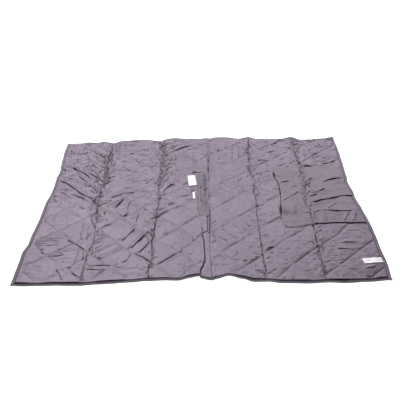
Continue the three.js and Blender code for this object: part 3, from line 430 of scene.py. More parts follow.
# Creases of the pocket panel, in the same form
POCKET_CREASES = [
    ("fold", 11, 22, [(735, 392), (759, 397), (787, 393), (823, 381)]),
    ("fold", 6, 14, [(730, 370), (751, 391)]),
    ("fold", 10, 20, [(859, 177), (894, 206), (937, 222), (973, 224), (1000, 222)]),
    ("fold", 7, 16, [(759, 170), (766, 213), (794, 241)]),
    ("fold", 7, 12, [(744, 134), (766, 141)]),
    ("fold", 6, 16, [(751, 49), (816, 77), (859, 102)]),
    ("fold", 10, 14, [(724, 14), (759, 25), (794, 43)]),
    ("fold", 10, 26, [(744, -57), (787, -36), (830, -25), (880, -11), (923, 7), (959, 18), (1001, 14),
                      (1030, 7)]),
    ("ridge", 6, 16, [(775, -275), (784, -215), (780, -165)]),
    ("ridge", 6, 16, [(960, -262), (975, -215), (995, -170)]),
    ("ridge", 5, 26, [(600, -180), (620, -60), (606, 60)]),
    ("ridge", 5, 26, [(650, 120), (640, 220), (655, 300)]),
    ("fold", 4, 12, [(830, -121), (866, -93), (909, -50)]),
    ("fold", 8, 16, [(787, -143), (830, -143), (873, -154), (937, -152), (980, -154)]),
    ("fold", 6, 12, [(766, -236), (780, -200)]),
    ("fold", 4, 12, [(798, -279), (805, -164)]),
    ("fold", 6, 14, [(909, -257), (923, -229), (959, -171)]),
    ("fold", 7, 14, [(555, -29), (587, -7), (609, 14), (637, 36), (673, 70)]),
    ("fold", 6, 16, [(559, 188), (601, 191), (616, 199), (666, 195)]),
    ("fold", 9, 10, [(719, -293), (741, -257)]),
    ("fold", 6, 14, [(741, -330), (735, -300), (728, -262)]),
]

# The neck facing's upright folds, in the same form
FACING_CREASES = [
    ("groove", 4, 9, [(-9, 300), (-11, 200), (-9, 100), (-10, -60), (-6, -160)]),
    ("groove", 10, 9, [(28, 312), (30, 220), (28, 150), (31, 90)]),
    ("groove", 14, 9, [(38, 315), (36, 240), (41, 150), (38, 70)]),
    ("groove", 10, 8, [(48, 300), (45, 230), (48, 160), (44, 90)]),
    ("groove", 12, 9, [(35, 80), (42, 10), (41, -60), (34, -150)]),
    ("groove", 7, 8, [(24, 60), (27, -60), (22, -150)]),
    ("fold", 4, 8, [(8, -140), (11, 40), (8, 220)]),
]
FACING_SHADE = 0.1

# Gathers beside the seams. Each row is a stretch of one side of a seam: where it runs from and to, the
# distance between gathers, their length, how steeply they leave the seam and end, and their height
GATHERS = [
    # seam, side, from, to, spacing, length, leaving, ending, height
    ("seam_one", -1, 420, 800, 30, 95, 78, 48, 4.5),
    ("seam_one", -1, 120, 420, 24, 120, 74, 44, 5.5),
    ("seam_one", -1, -120, 120, 20, 90, 68, 36, 5.5),
    ("seam_one", -1, -420, -120, 24, 55, 72, 40, 4.5),
    ("seam_one", -1, -760, -420, 28, 50, 70, 30, 3.5),
    ("seam_one", 1, 300, 780, 26, 60, 40, 8, 3.0),
    ("seam_one", 1, -60, 300, 22, 70, 60, 20, 4.0),
    ("seam_one", 1, -560, -60, 24, 60, 55, 20, 3.5),
    ("seam_one", 1, -760, -560, 30, 45, 40, 10, 2.5),
    ("seam_two", -1, 300, 800, 34, 60, 82, 60, 3.5),
    ("seam_two", -1, -160, 300, 26, 50, 70, 30, 3.5),
    ("seam_two", -1, -460, -160, 22, 70, 66, 46, 5.0),
    ("seam_two", -1, -760, -460, 24, 50, 60, 30, 3.5),
    ("seam_two", 1, 420, 800, 26, 110, 76, 44, 5.0),
    ("seam_two", 1, 60, 420, 28, 120, 76, 40, 4.5),
    ("seam_two", 1, -220, 60, 22, 70, 60, 30, 5.0),
    ("seam_two", 1, -760, -220, 30, 40, 50, 20, 2.5),
    ("centre", -1, 350, 800, 28, 40, 50, 20, 2.5),
    ("centre", 1, -740, 800, 28, 42, 50, 20, 2.5),
    ("seam_four", -1, -740, 800, 24, 45, 50, 15, 3.0),
    ("seam_four", 1, 100, 700, 24, 60, 60, 20, 3.5),
    ("seam_four", 1, -740, 100, 24, 45, 50, 20, 3.0),
    ("seam_five", -1, 420, 780, 24, 60, 62, 40, 3.5),
    ("seam_five", -1, -740, -340, 24, 45, 55, 25, 3.5),
    ("seam_five", 1, 420, 780, 24, 80, 74, 50, 4.0),
    ("seam_five", 1, -740, -320, 22, 60, 62, 40, 4.0),
]
POCKET_GATHERS = [
    ("seam_five", -1, -300, 380, 44, 45, 60, 30, 3.0),
    ("seam_five", 1, -290, 380, 36, 70, 62, 30, 4.0),
]

# The fly's creases, in the same form
FLY_CREASES = [
    ("fold", 3, 8, [(31, -643), (40, -665), (49, -686)]),
    ("fold", 2, 7, [(36, -480), (42, -520)]),
]

# Small tucks along the seams, with shade painted in them: where they run from and to, their distance, how
# far they lie from the seam's line, half their length, and their strength
SEAM_TUCKS = [
    ("seam_one", -760, -560, 16, 16, 26, 10), ("seam_one", -560, -200, 14, 26, 36, 13),
    ("seam_one", -200, 640, 7, 32, 38, 19), ("seam_one", 640, 790, 11, 24, 34, 14),
    ("seam_two", -760, -460, 12, 13, 22, 11), ("seam_two", -460, 180, 13, 14, 26, 12),
    ("seam_two", 180, 790, 10, 20, 36, 14), ("seam_four", -740, 0, 26, 9, 20, 8),
    ("seam_four", 0, 790, 13, 11, 24, 12), ("seam_five", -740, -320, 13, 13, 26, 12),
    ("seam_five", 400, 780, 14, 13, 26, 11), ("centre", 350, 780, 32, 9, 24, 10),
]
POCKET_TUCKS = [("seam_five", -290, 380, 11, 15, 30, 14)]

# Short faint wrinkles scattered over each stretch of cloth: middle, reach along each axis, the way that
# they lie in degrees, how many there are, and their strength
SCATTERED = [
    (-850, 640, 160, 130, -25, 40, 3.4), (-850, 250, 160, 240, -36, 34, 2.8),
    (-850, -180, 160, 200, -15, 12, 1.2),
    (-850, -560, 160, 190, 5, 14, 1.0), (-490, 600, 170, 200, 5, 36, 2.4), (-490, 200, 170, 200, 15, 34, 2.2),
    (-480, -170, 170, 180, 55, 34, 2.0), (-480, -560, 170, 180, 10, 22, 1.2), (-190, 620, 90, 180, 44, 34, 2.6),
    (-160, 200, 110, 230, 35, 22, 2.0), (-140, -260, 130, 200, -35, 24, 1.6),
    (-140, -600, 130, 140, 35, 16, 1.2),
    (215, 560, 140, 220, 25, 34, 2.6), (215, 100, 140, 230, -30, 22, 1.8), (215, -330, 140, 180, -52, 32, 1.8),
    (215, -630, 140, 110, -10, 16, 1.2), (460, 620, 90, 170, 20, 24, 2.4), (450, 150, 75, 260, 55, 24, 2.0),
    (530, -520, 150, 190, 35, 28, 1.3), (870, 620, 150, 150, 65, 22, 2.0), (870, -540, 160, 200, 5, 22, 1.1),
]

# The pocket's mouth: the line along its gap, which is sunk and painted with shade, as (y, x), and where the
# gap is wider and the edge stands off the cloth, as y, extra width, height and reach
MOUTH_LINE = [(-340, 524), (-216, 517), (-184, 520), (-134, 522), (-63, 533), (-7, 540), (63, 544), (134, 544),
              (191, 537), (233, 527), (297, 526), (340, 527)]
MOUTH_GAPES = [(-150, 13, 11, 42), (262, 8, 7, 28), (45, 4, 3, 28)]
MOUTH_GAP = 4.0
MOUTH_ENDS = (-208, 322)

# How much shade is painted along the pocket's lower edge, as (x, darkness); it also shapes that edge
POCKET_EDGE_SHADE = [(520, 0), (660, 0.05), (706, 0.5), (735, 1), (1060, 1)]

# Long low wrinkles: x, y, reach along each axis, the way that they lie in degrees, and their height
STREAKS = [
    (-850, 560, 170, 240, -30, 0.9), (-850, 180, 170, 240, -40, 1.0), (-490, 560, 190, 270, 3, 0.8),
    (-490, 200, 190, 160, 12, 0.8), (-190, 600, 110, 190, 48, 0.8), (-180, 250, 100, 190, 52, 0.7),
    (-850, -480, 190, 280, 2, 0.7), (-470, -640, 190, 110, 3, 0.7), (-470, -250, 190, 260, 62, 0.6),
    (220, 0, 160, 300, 40, 0.35), (220, -500, 160, 260, -50, 0.4), (540, -480, 160, 260, 45, 0.4),
    (870, -520, 170, 230, 5, 0.6), (870, 620, 170, 170, 30, 0.5), (540, 560, 160, 220, 30, 0.5),
]

# Blank labels: place, size, turn in degrees, the panel they lie on, and how far the free end is raised
LABELS = {
    "label_neck": ((-52, 212), (54, 132), 6, "quilt_left_inner", 2.5),
    "label_tape": ((-46, 110), (26, 62), 5, "quilt_left_inner", 1.0),
    "label_strip": ((-38, 36), (15, 78), 4, "quilt_left_inner", 1.0),
    "label_hem": ((982, -638), (114, 44), 5, "quilt_right_outer", 1.5),
}
SNAPS = {"snap_upper": (9.0, 126.0), "snap_lower": (11.0, -24.0)}
SNAP_RADIUS = 6.5
SNAP_SIDES = 40

# Half the section of a snap cap: out from its middle, and up
SNAP_SECTION = [
    (0, 0), (SNAP_RADIUS, 0), (SNAP_RADIUS + 0.1, 0.7), (SNAP_RADIUS - 0.7, 1.7), (SNAP_RADIUS - 1.9, 2.1),
    (SNAP_RADIUS - 3, 1.7), (SNAP_RADIUS - 3.5, 0.9), (1.6, 0.8), (0.9, 1.3), (0, 1.4),
]

# Section of the folded tape: out from the cloth's edge, and up from the floor
TAPE_SECTION = [
    (-2.5, 0.0), (3, 0.0), (9, 0.0), (12.6, 0.25), (14.2, 1.3), (14.35, 2.4), (13.4, 3.6), (10.5, 4.5),
    (6, 4.7), (1, 4.5), (-3, 4.2), (-6.4, 3.8), (-6.4, 3.0), (-3, 3.2), (1, 3.4), (6, 3.8), (10.5, 3.6),
    (12.6, 2.6), (12.9, 1.9), (12.2, 1.1), (9, 0.9), (3, 0.9), (-2.5, 0.9),
]
EDGE_STEP = 0.25
TAPE_PLACES = (0, 0.25, 0.5, 0.75)

# Places within a grid's first and last cells: at a bound edge, at the centre, and at a plain edge
RIM_PLACES = (0, 0.14, 0.2, 0.23, 0.26, 0.3, 0.35, 0.41, 0.5, 0.62, 0.75, 0.88)
CENTRE_PLACES = (0, 0.02, 0.05, 0.09, 0.14, 0.2, 0.3, 0.4, 0.52, 0.64, 0.76, 0.88)
FREE_PLACES = (0, 0.03, 0.09, 0.2, 0.36, 0.52, 0.68, 0.84)
CELL_STEPS = 9

# Each kind of crease's height in millimetres and its painted shade, for no strength and for each step of it
CREASE_HEIGHTS = {"fold": (1.7, 0.45), "groove": (1.2, 0.24), "ridge": (1.0, 0.6)}
CREASE_SHADE = {"fold": (0.12, 0.056), "groove": (0.2, 0.072), "ridge": (0.0, 0.0)}
WIDTH_SHARE = 0.75
PATH_WAVE = 3.0
FADE_LENGTH = 15
FADE_LIMITS = (0.06, 0.45)
SHIFT_LIMIT = 7

# A fold's steep side as a share of its height, a groove's half width and depth, how far each leans, and how
# much broader both are at the back
FOOT_SHARE = 0.55
FOOT_LIMITS = (2.0, 3.6)
FOLD_LEAN = 0.6
GROOVE_HALF = 3.6
GROOVE_DEPTH = 2.2
GROOVE_LEAN = 0.25
FAR_FOOT = 1.1
FAR_GROOVE = 0.3
FAR_FROM = -350
FAR_REACH = 900

# How rough the padding is, how much rougher at the back, how deep pits are, and the thinnest cloth
ROUGHNESS = 1.4
BACK_ROUGHER = 1.8
PIT_DEPTH = 2.4
LEAST_HEIGHT = 1.9

# Levels that the creases' places were read on, and that they are moved to
SEEN_LEVEL = -5.4
CLOTH_LEVEL = 7.0

# The quilting: how flat a diamond is, how far a stitch line draws the cloth in, its painted shade, how far it
# strays in cells, the reach, depth and painted shade of the deep lines, and the loft under another layer
FLAT_SHARE = 0.4
LINE_REACH = 7.5
LINE_SHADE_LEVEL = 0.07
LINE_STRAY = 0.16
DEEP_REACH = 3.8
DEEP_DEPTH = 1.8
DEEP_LINE_SHADE = 0.52
COVERED_LOFT = 0.55

# How the seams sway, as the length and height of each wave
SEAM_SWAY = ((36, 5.0), (13, 2.6))

# Painted shade on the tape's upper lip from the cloth outwards, and how far the front's painted shade reaches
LIP_PLACES = (-6.4, -3, 1, 6)
HEM_LIP_SHADE = (1.0, 1.0, 0.9, 0.3)
SIDE_LIP_SHADE = (0.45, 0.12, 0.0, 0.0)
FRONT_SHADE_REACH = 5.5

# The centre line's open slot, whose edges roll down, and where the free edge jogs over to it
SLOT = {"front": -354, "back": -205}
JOG = {"y": -357, "reach": 19}
ROLL_RADIUS = 6.0
ROLL_RISE = 2.5

# How far an edge inside its binding stands off the floor, and the layers over the quilted cloth
RIM_FOOT = 1.1
PATCH_THICKNESS = 1.8
LAYER_GAP = 0.45
CORNER_RADIUS = 34.0

# Stitches and bar tacks: their distance, and the length, width and height of one
STITCH_PITCH = 4.6
STITCH_SIZE = (3.2, 0.9, 0.7)
TACK_PITCH = 0.7
TACK_SIZE = (5.5, 0.9, 1.2)

# Camera, in metres and degrees: its place above the plan, then yaw, pitch and roll
CAMERA_PLACE = (0.039, -2.819, 2.028)
CAMERA_TURN = (0.73, 35.85, -1.51)
CAMERA_LENS = 46.77

# Light and finish
FLOOR_GLOW = 1.0
WORLD_LEFT = 0.06
WORLD_RIGHT = 0.22
SOFTBOXES = {
    "top_softbox": ((-0.4, 2.4, 4.0), (3.4, 1.4), 118),
    "top_left_softbox": ((-3.0, 2.4, 4.0), (2.2, 1.4), 52),
    "back_left_softbox": ((-1.9, 4.0, 3.5), (3.4, 1.4), 92),
    "back_right_softbox": ((1.9, 4.0, 2.2), (3.4, 1.4), 66),
}
SHELL_LIGHT = (0.222, 0.175, 0.238)
SHELL_DARK = (0.196, 0.155, 0.211)
PLAIN_LIGHT = (0.184, 0.144, 0.196)
PLAIN_DARK = (0.165, 0.130, 0.176)
TAPE_LIGHT = (0.214, 0.181, 0.225)
TAPE_DARK = (0.190, 0.161, 0.200)
LABEL_LIGHT = (0.97, 0.955, 0.99)
LABEL_DARK = (0.94, 0.925, 0.965)
# The colour that the painted shade of creases, seams, rims and gaps mixes towards
PAINTED_SHADE_COLOUR = (0.012, 0.003, 0.015)
THREAD_COLOUR = (0.06, 0.05, 0.062)
SNAP_COLOUR = (0.09, 0.08, 0.092)
SHELL_ROUGHNESS = 0.46
SHELL_METAL = 0.2
SPECULAR_LEVEL = 0.35

snap_low, snap_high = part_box("snap_upper")
SHIFT = np.array([(snap_low[0] + snap_high[0]) / 2 - SNAPS["snap_upper"][0] * MM,
                  (snap_low[1] + snap_high[1]) / 2 - SNAPS["snap_upper"][1] * MM, 0.0])
rng = np.random.default_rng(20)


# Plan of the cloth
def ease(t):
    s = np.clip(t, 0, 1)
    return s * s * (3 - 2 * s)


def along(table, at):
    """Smooth value of a two-column table at each place"""
    places, values = np.array(table, float).T
    at = np.clip(at, places[0], places[-1])
    k = np.clip(np.searchsorted(places, at, side="right") - 1, 0, len(places) - 2)
    share = ease((at - places[k]) / (places[k + 1] - places[k]))
    return values[k] + (values[k + 1] - values[k]) * share


def column_x(i, y):
    """Where each column lies at a place from front to back"""
    stations = np.array(list(COLUMN.values()), float)
    paths = np.stack([along(PATHS[name], y) for name in COLUMN])
    k = np.clip(np.searchsorted(stations, i, side="right") - 1, 0, len(stations) - 2)
    share = (i - stations[k]) / (stations[k + 1] - stations[k])
    before = np.take_along_axis(paths, k[None], 0)[0]
    after = np.take_along_axis(paths, k[None] + 1, 0)[0]
    return before + (after - before) * share


def row_y(j, x, hem):
    front = along(hem, x) + BAND_WIDTH + GAP - FRONT_Y
    back = along(BACK, x) - BAND_WIDTH - GAP - BACK_Y
    near_front = np.clip(1 - j / EDGE_ROWS, 0, None) ** 2
    near_back = np.clip(1 - (ROWS - j) / EDGE_ROWS, 0, None) ** 2
    drift = sum(along(POCKET_DRIFT[side], x) * np.clip(1 - np.abs(j - POCKET[side]) / DRIFT_ROWS, 0, None)
                for side in ("bottom", "top"))
    return FRONT_Y + ROW_STEP * j + front * near_front + back * near_back + drift


def plan_left(i, j):
    nominal = FRONT_Y + ROW_STEP * j
    give = np.clip((i - COLUMN["centre"] + FREE_EDGE_COLUMNS) / FREE_EDGE_COLUMNS, 0, None) ** 2
    centre = along(PATHS["centre"], nominal) - SEAM_GAP / 2
    free = np.minimum(centre, along(FREE_EDGE, nominal))
    edge = centre + (free - centre) * np.clip((FLY_TOP_ROW + FLY_END - j) / FLY_END, 0, 1)
    x = column_x(i, nominal) - SEAM_GAP / 2 * np.clip(i - COLUMN["centre"] + 1, 0, 1) + (edge - centre) * give
    return x, row_y(j, x, HEM_LEFT)


def plan_right(i, j):
    x = column_x(i, FRONT_Y + ROW_STEP * j) + SEAM_GAP / 2 * np.clip(COLUMN["centre"] + 1 - i, 0, 1)
    return x, row_y(j, x, HEM_RIGHT)


def plan_fly(i, j):
    """The fly lies against the left half's free edge, whose rows run a little differently from its own"""
    centre = np.full_like(j, COLUMN["centre"], float)
    rows = np.linspace(0, FLY_TOP_ROW + 2, 900)
    edge_x, edge_y = plan_left(np.full_like(rows, COLUMN["centre"]), rows)
    x1 = column_x(centre, FRONT_Y + ROW_STEP * j) - SEAM_GAP / 2
    x0 = plan_left(centre, j)[0] + FLY_CLEARANCE
    for _ in range(3):
        x = x0 + (x1 - x0) * i / FLY_COLUMNS
        y = row_y(j, x, HEM_RIGHT)
        x0 = np.interp(y, edge_y, edge_x) + FLY_CLEARANCE
    return x0 + (x1 - x0) * i / FLY_COLUMNS, y


def lift_at(x, y):
    """How far the floor side of the cloth stands off the floor"""
    return sum(height * np.exp(-((x - cx) / reach_x) ** 2 - ((y - cy) / reach_y) ** 2)
               for cx, cy, height, reach_x, reach_y in LIFTS)


# Noise
def value_noise(x, y, scale_x, scale_y, seed):
    """Smooth noise between -1 and 1 whose bumps are scale_x by scale_y"""
    table = np.random.default_rng(seed).uniform(-1, 1, (256, 256))
    u, v = x / scale_x + 97.3, y / scale_y + 61.7
    iu, iv = np.floor(u).astype(int), np.floor(v).astype(int)
    fu, fv = ease(u - iu), ease(v - iv)
    a, b = iu % 256, iv % 256
    c, d = (iu + 1) % 256, (iv + 1) % 256
    low = table[a, b] + (table[c, b] - table[a, b]) * fu
    high = table[a, d] + (table[c, d] - table[a, d]) * fu
    return low + (high - low) * fv


# Quilting
def line_drift(i, j):
    """How far each set of stitch lines strays at a place, in cells"""
    strays = []
    for side in (2, 3):
        broad = value_noise(i, j, 2.4, 2.4, 90 + side)
        drift = LINE_STRAY * broad + 0.5 * LINE_STRAY * value_noise(i, j, 0.9, 0.9, 93)
        for row in LINE_DRIFT:
            drift = drift + row[side] * np.exp(-((i - row[0]) / 5) ** 2 - ((j - row[1]) / 6) ** 2)
        strays.append(drift)
    return strays


def lattice(i, j):
    """Places across the two sets of stitch lines, in cells"""
    first, second = line_drift(i, j)
    return (i - CROSSING[0]) - (j - CROSSING[1]) - first, (i - CROSSING[0]) + (j - CROSSING[1]) - second


def to_line(cells):
    """Distance to the nearest stitch line of a set, in millimetres"""
    half = DIAMOND_CELLS / 2
    return np.abs((cells + half) % DIAMOND_CELLS - half) * LINE_STEP


def diamond_loft(i, j):
    """Share of the padding's height: flat in a diamond's middle and drawn in at its stitch lines"""
    up, down = lattice(i, j)
    dome = np.abs(np.sin(np.pi * up / DIAMOND_CELLS) * np.sin(np.pi * down / DIAMOND_CELLS)) ** LOFT_FULLNESS
    flat_up, flat_down = (1 - np.exp(-(to_line(cells) / LINE_REACH) ** 1.3) for cells in (up, down))
    return FLAT_SHARE * (flat_up * flat_down) + (1 - FLAT_SHARE) * dome


def quilting_faintness(x, y):
    """How much of the quilting's depth shows: less at the back of the left half"""
    return 1 - 0.45 * np.exp(-((x + 650) / 420) ** 4 - ((y - 520) / 420) ** 4)


def deep_quilting(plan, i, j):
    """How much more than the rest each stitch line is sunk, and painted with shade, at each place"""
    deep = np.zeros(i.shape)
    here = lattice(i, j)
    for strength, start, end in DEEP_LINES:
        x, y = on_cloth([start, end]).T
        ends = lattice(*find_cell(plan, x, y))
        across = int(abs(ends[0][1] - ends[0][0]) > abs(ends[1][1] - ends[1][0]))
        line = DIAMOND_CELLS * np.round(ends[across].mean() / DIAMOND_CELLS)
        low, high = np.sort(ends[1 - across])
        walk = here[1 - across]
        within = ease((walk - low + 0.4) / 1.2) * ease((high - walk + 0.4) / 1.2)
        uneven = 0.75 + 0.35 * value_noise(walk, walk * 0 + 7 * line, 1.3, 5, 33)
        near = np.exp(-((here[across] - line) * LINE_STEP / DEEP_REACH) ** 2)
        deep = np.maximum(deep, strength * near * within * uneven)
    return deep


def line_puckers(i, j, x, y):
    """Small wrinkles square to the stitch lines"""
    up, down = lattice(i, j)
    often = ease(0.5 + value_noise(x, y, 90, 90, 5))
    first = value_noise(down * LINE_STEP, up * LINE_STEP, 10, 40, 6) * np.exp(-(to_line(up) / 16) ** 2)
    second = value_noise(up * LINE_STEP, down * LINE_STEP, 10, 40, 7) * np.exp(-(to_line(down) / 16) ** 2)
    return (first + second) * often


def thin_ridges(x, y, scale, seed):
    """A net of thin raised lines, as in crumpled cloth"""
    return np.exp(-(value_noise(x, y, scale, scale * 0.8, seed) / 0.16) ** 2)


def crumple(x, y):
    """Uneven surface of thin cloth over padding, in millimetres"""
    wx = x + 9 * value_noise(x, y, 50, 50, 21)
    wy = y + 9 * value_noise(x, y, 50, 50, 22)
    where = ease(0.5 + 0.9 * value_noise(x, y, 130, 100, 23))
    soft = 1.0 * value_noise(x, y, 110, 80, 1) + 0.85 * value_noise(wx, wy, 42, 30, 2)
    fine = 0.34 * value_noise(wx, wy, 16, 12, 3) + 0.14 * value_noise(x, y, 9, 7, 4)
    lines = 0.7 * thin_ridges(wx, wy, 62, 24) + 0.55 * thin_ridges(wx, wy, 34, 25) * where
    return soft + fine + lines + 0.4 * value_noise(wx, wy, 26, 17, 26)


def streaks(x, y):
    """Long low wrinkles that lie one way in each stretch of cloth"""
    total = np.zeros(x.shape)
    for seed, (cx, cy, reach_x, reach_y, angle, height) in enumerate(STREAKS):
        near = np.exp(-((x - cx) / reach_x) ** 4 - ((y - cy) / reach_y) ** 4)
        turn = math.radians(angle)
        u = x * math.cos(turn) + y * math.sin(turn)
        v = -x * math.sin(turn) + y * math.cos(turn) + 7 * value_noise(x, y, 90, 70, 40 + seed)
        total += near * height * value_noise(u, v, 85, 11, 60 + seed)
    return total


# Creases
def on_cloth(points, rise=0.0):
    """Places seen on the floor's level, moved along the camera's view to where they lie on the cloth"""
    eye = np.array(CAMERA_PLACE) / MM
    share = (eye[2] - CLOTH_LEVEL) / (eye[2] - SEEN_LEVEL)
    places = eye[:2] + (np.array(points, float) - eye[:2]) * share
    places[:, 1] -= rise * (places[:, 1] - eye[1]) / eye[2]
    return places


def read_creases(table):
    """A table's creases as kind, height, painted shade, width and places on the cloth"""
    creases = []
    for kind, strength, width, points in table:
        least, step = CREASE_HEIGHTS[kind]
        height = least + step * strength
        dark_least, dark_step = CREASE_SHADE[kind]
        dark = min(1, dark_least + dark_step * strength)
        rise = height / 2 if kind == "fold" else 0
        creases.append((kind, height, dark, width * WIDTH_SHARE, on_cloth(points, rise)))
    return creases


def smooth_path(points):
    """The points of a line with its corners cut twice"""
    path = np.array(points, float)
    for _ in range(2):
        if len(path) < 3:
            return path
        near = path[:-1] * 0.75 + path[1:] * 0.25
        far = path[:-1] * 0.25 + path[1:] * 0.75
        cut = np.stack([near, far], 1).reshape(-1, 2)
        path = np.concatenate([path[:1], cut[1:-1], path[-1:]])
    return path


def across_path(path, x, y):
    """Distance from a line, positive on its left, the share of its length, and its left side's direction"""
    steps = path[1:] - path[:-1]
    lengths = np.hypot(steps[:, 0], steps[:, 1])
    walked = np.concatenate([[0], np.cumsum(lengths)])
    best = np.full(x.shape, np.inf)
    signed, place = np.zeros(x.shape), np.zeros(x.shape)
    side_x, side_y = np.zeros(x.shape), np.zeros(x.shape)
    for k, (dx, dy) in enumerate(steps / lengths[:, None]):
        rx, ry = x - path[k, 0], y - path[k, 1]
        t = np.clip(rx * dx + ry * dy, 0, lengths[k])
        distance = np.hypot(rx - dx * t, ry - dy * t)
        nearer = distance < best
        best = np.where(nearer, distance, best)
        signed = np.where(nearer, np.copysign(distance, dx * ry - dy * rx), signed)
        place = np.where(nearer, (walked[k] + t) / walked[-1], place)
        side_x, side_y = np.where(nearer, -dy, side_x), np.where(nearer, dx, side_y)
    return signed, place, side_x, side_y, walked[-1]


def fold_shape(signed, foot, width):
    """Share of a fold's height: a steep side up to its crest and a long slope behind it"""
    steep = ease(signed / foot)
    behind = np.exp(-np.clip((signed - foot) / width, 0, None) ** 1.25)
    return np.where(signed < foot, steep, behind)


def groove_shape(signed, width):
    return (1 - np.exp(-(signed / GROOVE_HALF) ** 2)) * np.exp(-np.abs(signed / width) ** 1.5)


def far_share(y):
    """0 at the front and 1 at the back, where creases are broader"""
    return ease((y - FAR_FROM) / FAR_REACH)


def add_creases(creases, x, y):
    """Height, sideways shift, painted shade and sinking that a list of creases gives the cloth at each point"""
    cubes, shift_x, shift_y, shade, sunk = (np.zeros(x.shape) for _ in range(5))
    for number, (kind, height, dark, width, points) in enumerate(creases):
        path = smooth_path(points)
        far = far_share(path[:, 1].mean())
        foot = np.clip(height * FOOT_SHARE, *FOOT_LIMITS) * (1 + FAR_FOOT * far)
        half = GROOVE_HALF * (0.65 + 0.6 * dark) * (1 + FAR_GROOVE * far)
        reach = foot + 3 * max(width, GROOVE_HALF)
        low, high = path.min(0) - reach, path.max(0) + reach
        near = (x > low[0]) & (x < high[0]) & (y > low[1]) & (y < high[1])
        if not near.any():
            continue
        px, py = x[near], y[near]
        signed, place, side_x, side_y, length = across_path(path, px, py)
        signed = signed + PATH_WAVE * value_noise(px, py, 24, 24, 200 + number % 17)
        fade = np.clip(FADE_LENGTH / length, *FADE_LIMITS)
        share = ease(place / fade) * ease((1 - place) / fade)
        share = share * (1 + 0.3 * np.sin(place * length / 19 + number * 1.7))
        uneven = np.clip(0.85 + 0.7 * value_noise(px, py, 17, 17, 300 + number % 13), 0, 1)
        if kind == "groove":
            z = height * share * groove_shape(signed, width)
            lean = -np.sign(signed) * GROOVE_LEAN * z
            line = np.exp(-np.abs(signed / half) ** 3) * share
            sunk[near] = np.maximum(sunk[near], GROOVE_DEPTH * dark * line)
        elif kind == "ridge":
            z = height * share * np.exp(-(signed / width) ** 2)
            lean, line = 0, 0
        else:
            z = height * share * fold_shape(signed, foot, width)
            lean = -FOLD_LEAN * z * z / height
            line = np.exp(-((signed - foot * 0.25) / (foot * 0.75)) ** 2) * share
        cubes[near] += z ** 3
        shift_x[near] += side_x * lean
        shift_y[near] += side_y * lean
        # Shade painted along the crease's line
        shade[near] = np.maximum(shade[near], dark * line * uneven)
    return np.cbrt(cubes), shift_x, shift_y, shade, sunk


def pits(x, y):
    """How sunk the cloth is at its small pits and how much shade is painted there, from 0 to 1"""
    total = np.zeros(x.shape)
    for cx, cy, reach_x, reach_y, dark in PITS:
        (cx, cy), = on_cloth([(cx, cy)])
        total = np.maximum(total, dark * np.exp(-((x - cx) / reach_x) ** 2 - ((y - cy) / reach_y) ** 2))
    return total


def gathers_of(table):
    """Creases for every gather in a table of stretches, each of its own length, slant and height"""
    creases = []
    for seam, side, start, end, spacing, length, leaving, ending, height in table:
        y = start + spacing * rng.uniform(0.1, 1)
        while y < end:
            x = float(along(PATHS[seam], np.array(y))) + side * rng.uniform(-3, 12)
            size = length * rng.uniform(0.35, 1.6)
            swing = rng.uniform(-15, 15)
            points = [(x, y)]
            for angle in (leaving, (leaving + ending) / 2, ending):
                turn = math.radians(angle + swing + rng.uniform(-9, 9))
                x += side * math.cos(turn) * size / 3
                points.append((x, points[-1][1] + math.sin(turn) * size / 3))
            order = points if side > 0 else points[::-1]
            weight = rng.uniform(0.3, 1.25)
            # Each gather carries a little painted shade along its line
            creases.append(("fold", height * weight, 0.3 * weight ** 2, rng.uniform(6, 13), np.array(order)))
            y += spacing * rng.uniform(0.5, 1.9)
    return creases


def tucks_of(table):
    """Short uneven grooves and folds that lie nearly along the seams"""
    creases = []
    for seam, start, end, spacing, spread, half, strength in table:
        y = start + spacing * rng.uniform(0, 1)
        while y < end:
            off = spread * rng.normal(0, 0.7)
            x = float(along(PATHS[seam], np.array(y))) + off
            slant = math.radians(90 + rng.uniform(-18, 18) + 0.4 * off * rng.uniform(0, 1))
            step = np.array([math.cos(slant), math.sin(slant)]) * half * rng.uniform(0.4, 1.5)
            middle = np.array([x, y])
            points = np.stack([middle - step, middle + (rng.uniform(-5, 5), 0), middle + step])
            weight = strength * rng.uniform(0.25, 1.2)
            kind = "groove" if rng.uniform() < 0.6 else "fold"
            # Each tuck gets painted shade by its weight
            creases.append((kind, 1.0 + 0.16 * weight, min(1, 0.085 * weight), rng.uniform(5, 9), points))
            y += spacing * rng.uniform(0.4, 1.7)
    return creases


def scattered(table):
    """Short low folds strewn over the cloth"""
    creases = []
    for cx, cy, reach_x, reach_y, angle, count, strength in table:
        for _ in range(count):
            middle = np.array([cx + rng.uniform(-1, 1) * reach_x, cy + rng.uniform(-1, 1) * reach_y])
            turn = math.radians(angle + rng.normal(0, 26))
            half = rng.uniform(8, 38)
            step = np.array([math.cos(turn), math.sin(turn)]) * half
            bend = np.array([-step[1], step[0]]) * rng.uniform(-0.3, 0.3)
            weight = strength * rng.uniform(0.3, 1.5)
            points = np.stack([middle - step, middle + bend, middle + step])
            kind = "fold" if rng.uniform() < 0.6 else "ridge"
            # Each short fold gets a little painted shade
            creases.append((kind, 0.55 * weight + 0.4, 0.045 * weight, rng.uniform(6, 15), points))
    return creases


# Fine grids
def fine_places(first, last, start, end):
    """Places along one side of a grid, with those of its first and last cells given"""
    places = [first + p for p in start]
    for cell in range(first + 1, last - 1):
        places += [cell + k / CELL_STEPS for k in range(CELL_STEPS)]
    places += [last - 1] + [last - p for p in end[:0:-1]] + [last]
    return np.array(places, float)


def find_cell(plan, x, y):
    """Column and row of places on the plan"""
    i = (x - PATHS["left"][0][1]) / COLUMN_STEP + np.zeros_like(y)
    j = (y - FRONT_Y) / ROW_STEP + np.zeros_like(x)
    for _ in range(8):
        px, py = plan(i, j)
        i = i + (x - px) / COLUMN_STEP
        j = j + (y - py) / ROW_STEP
    return i, j


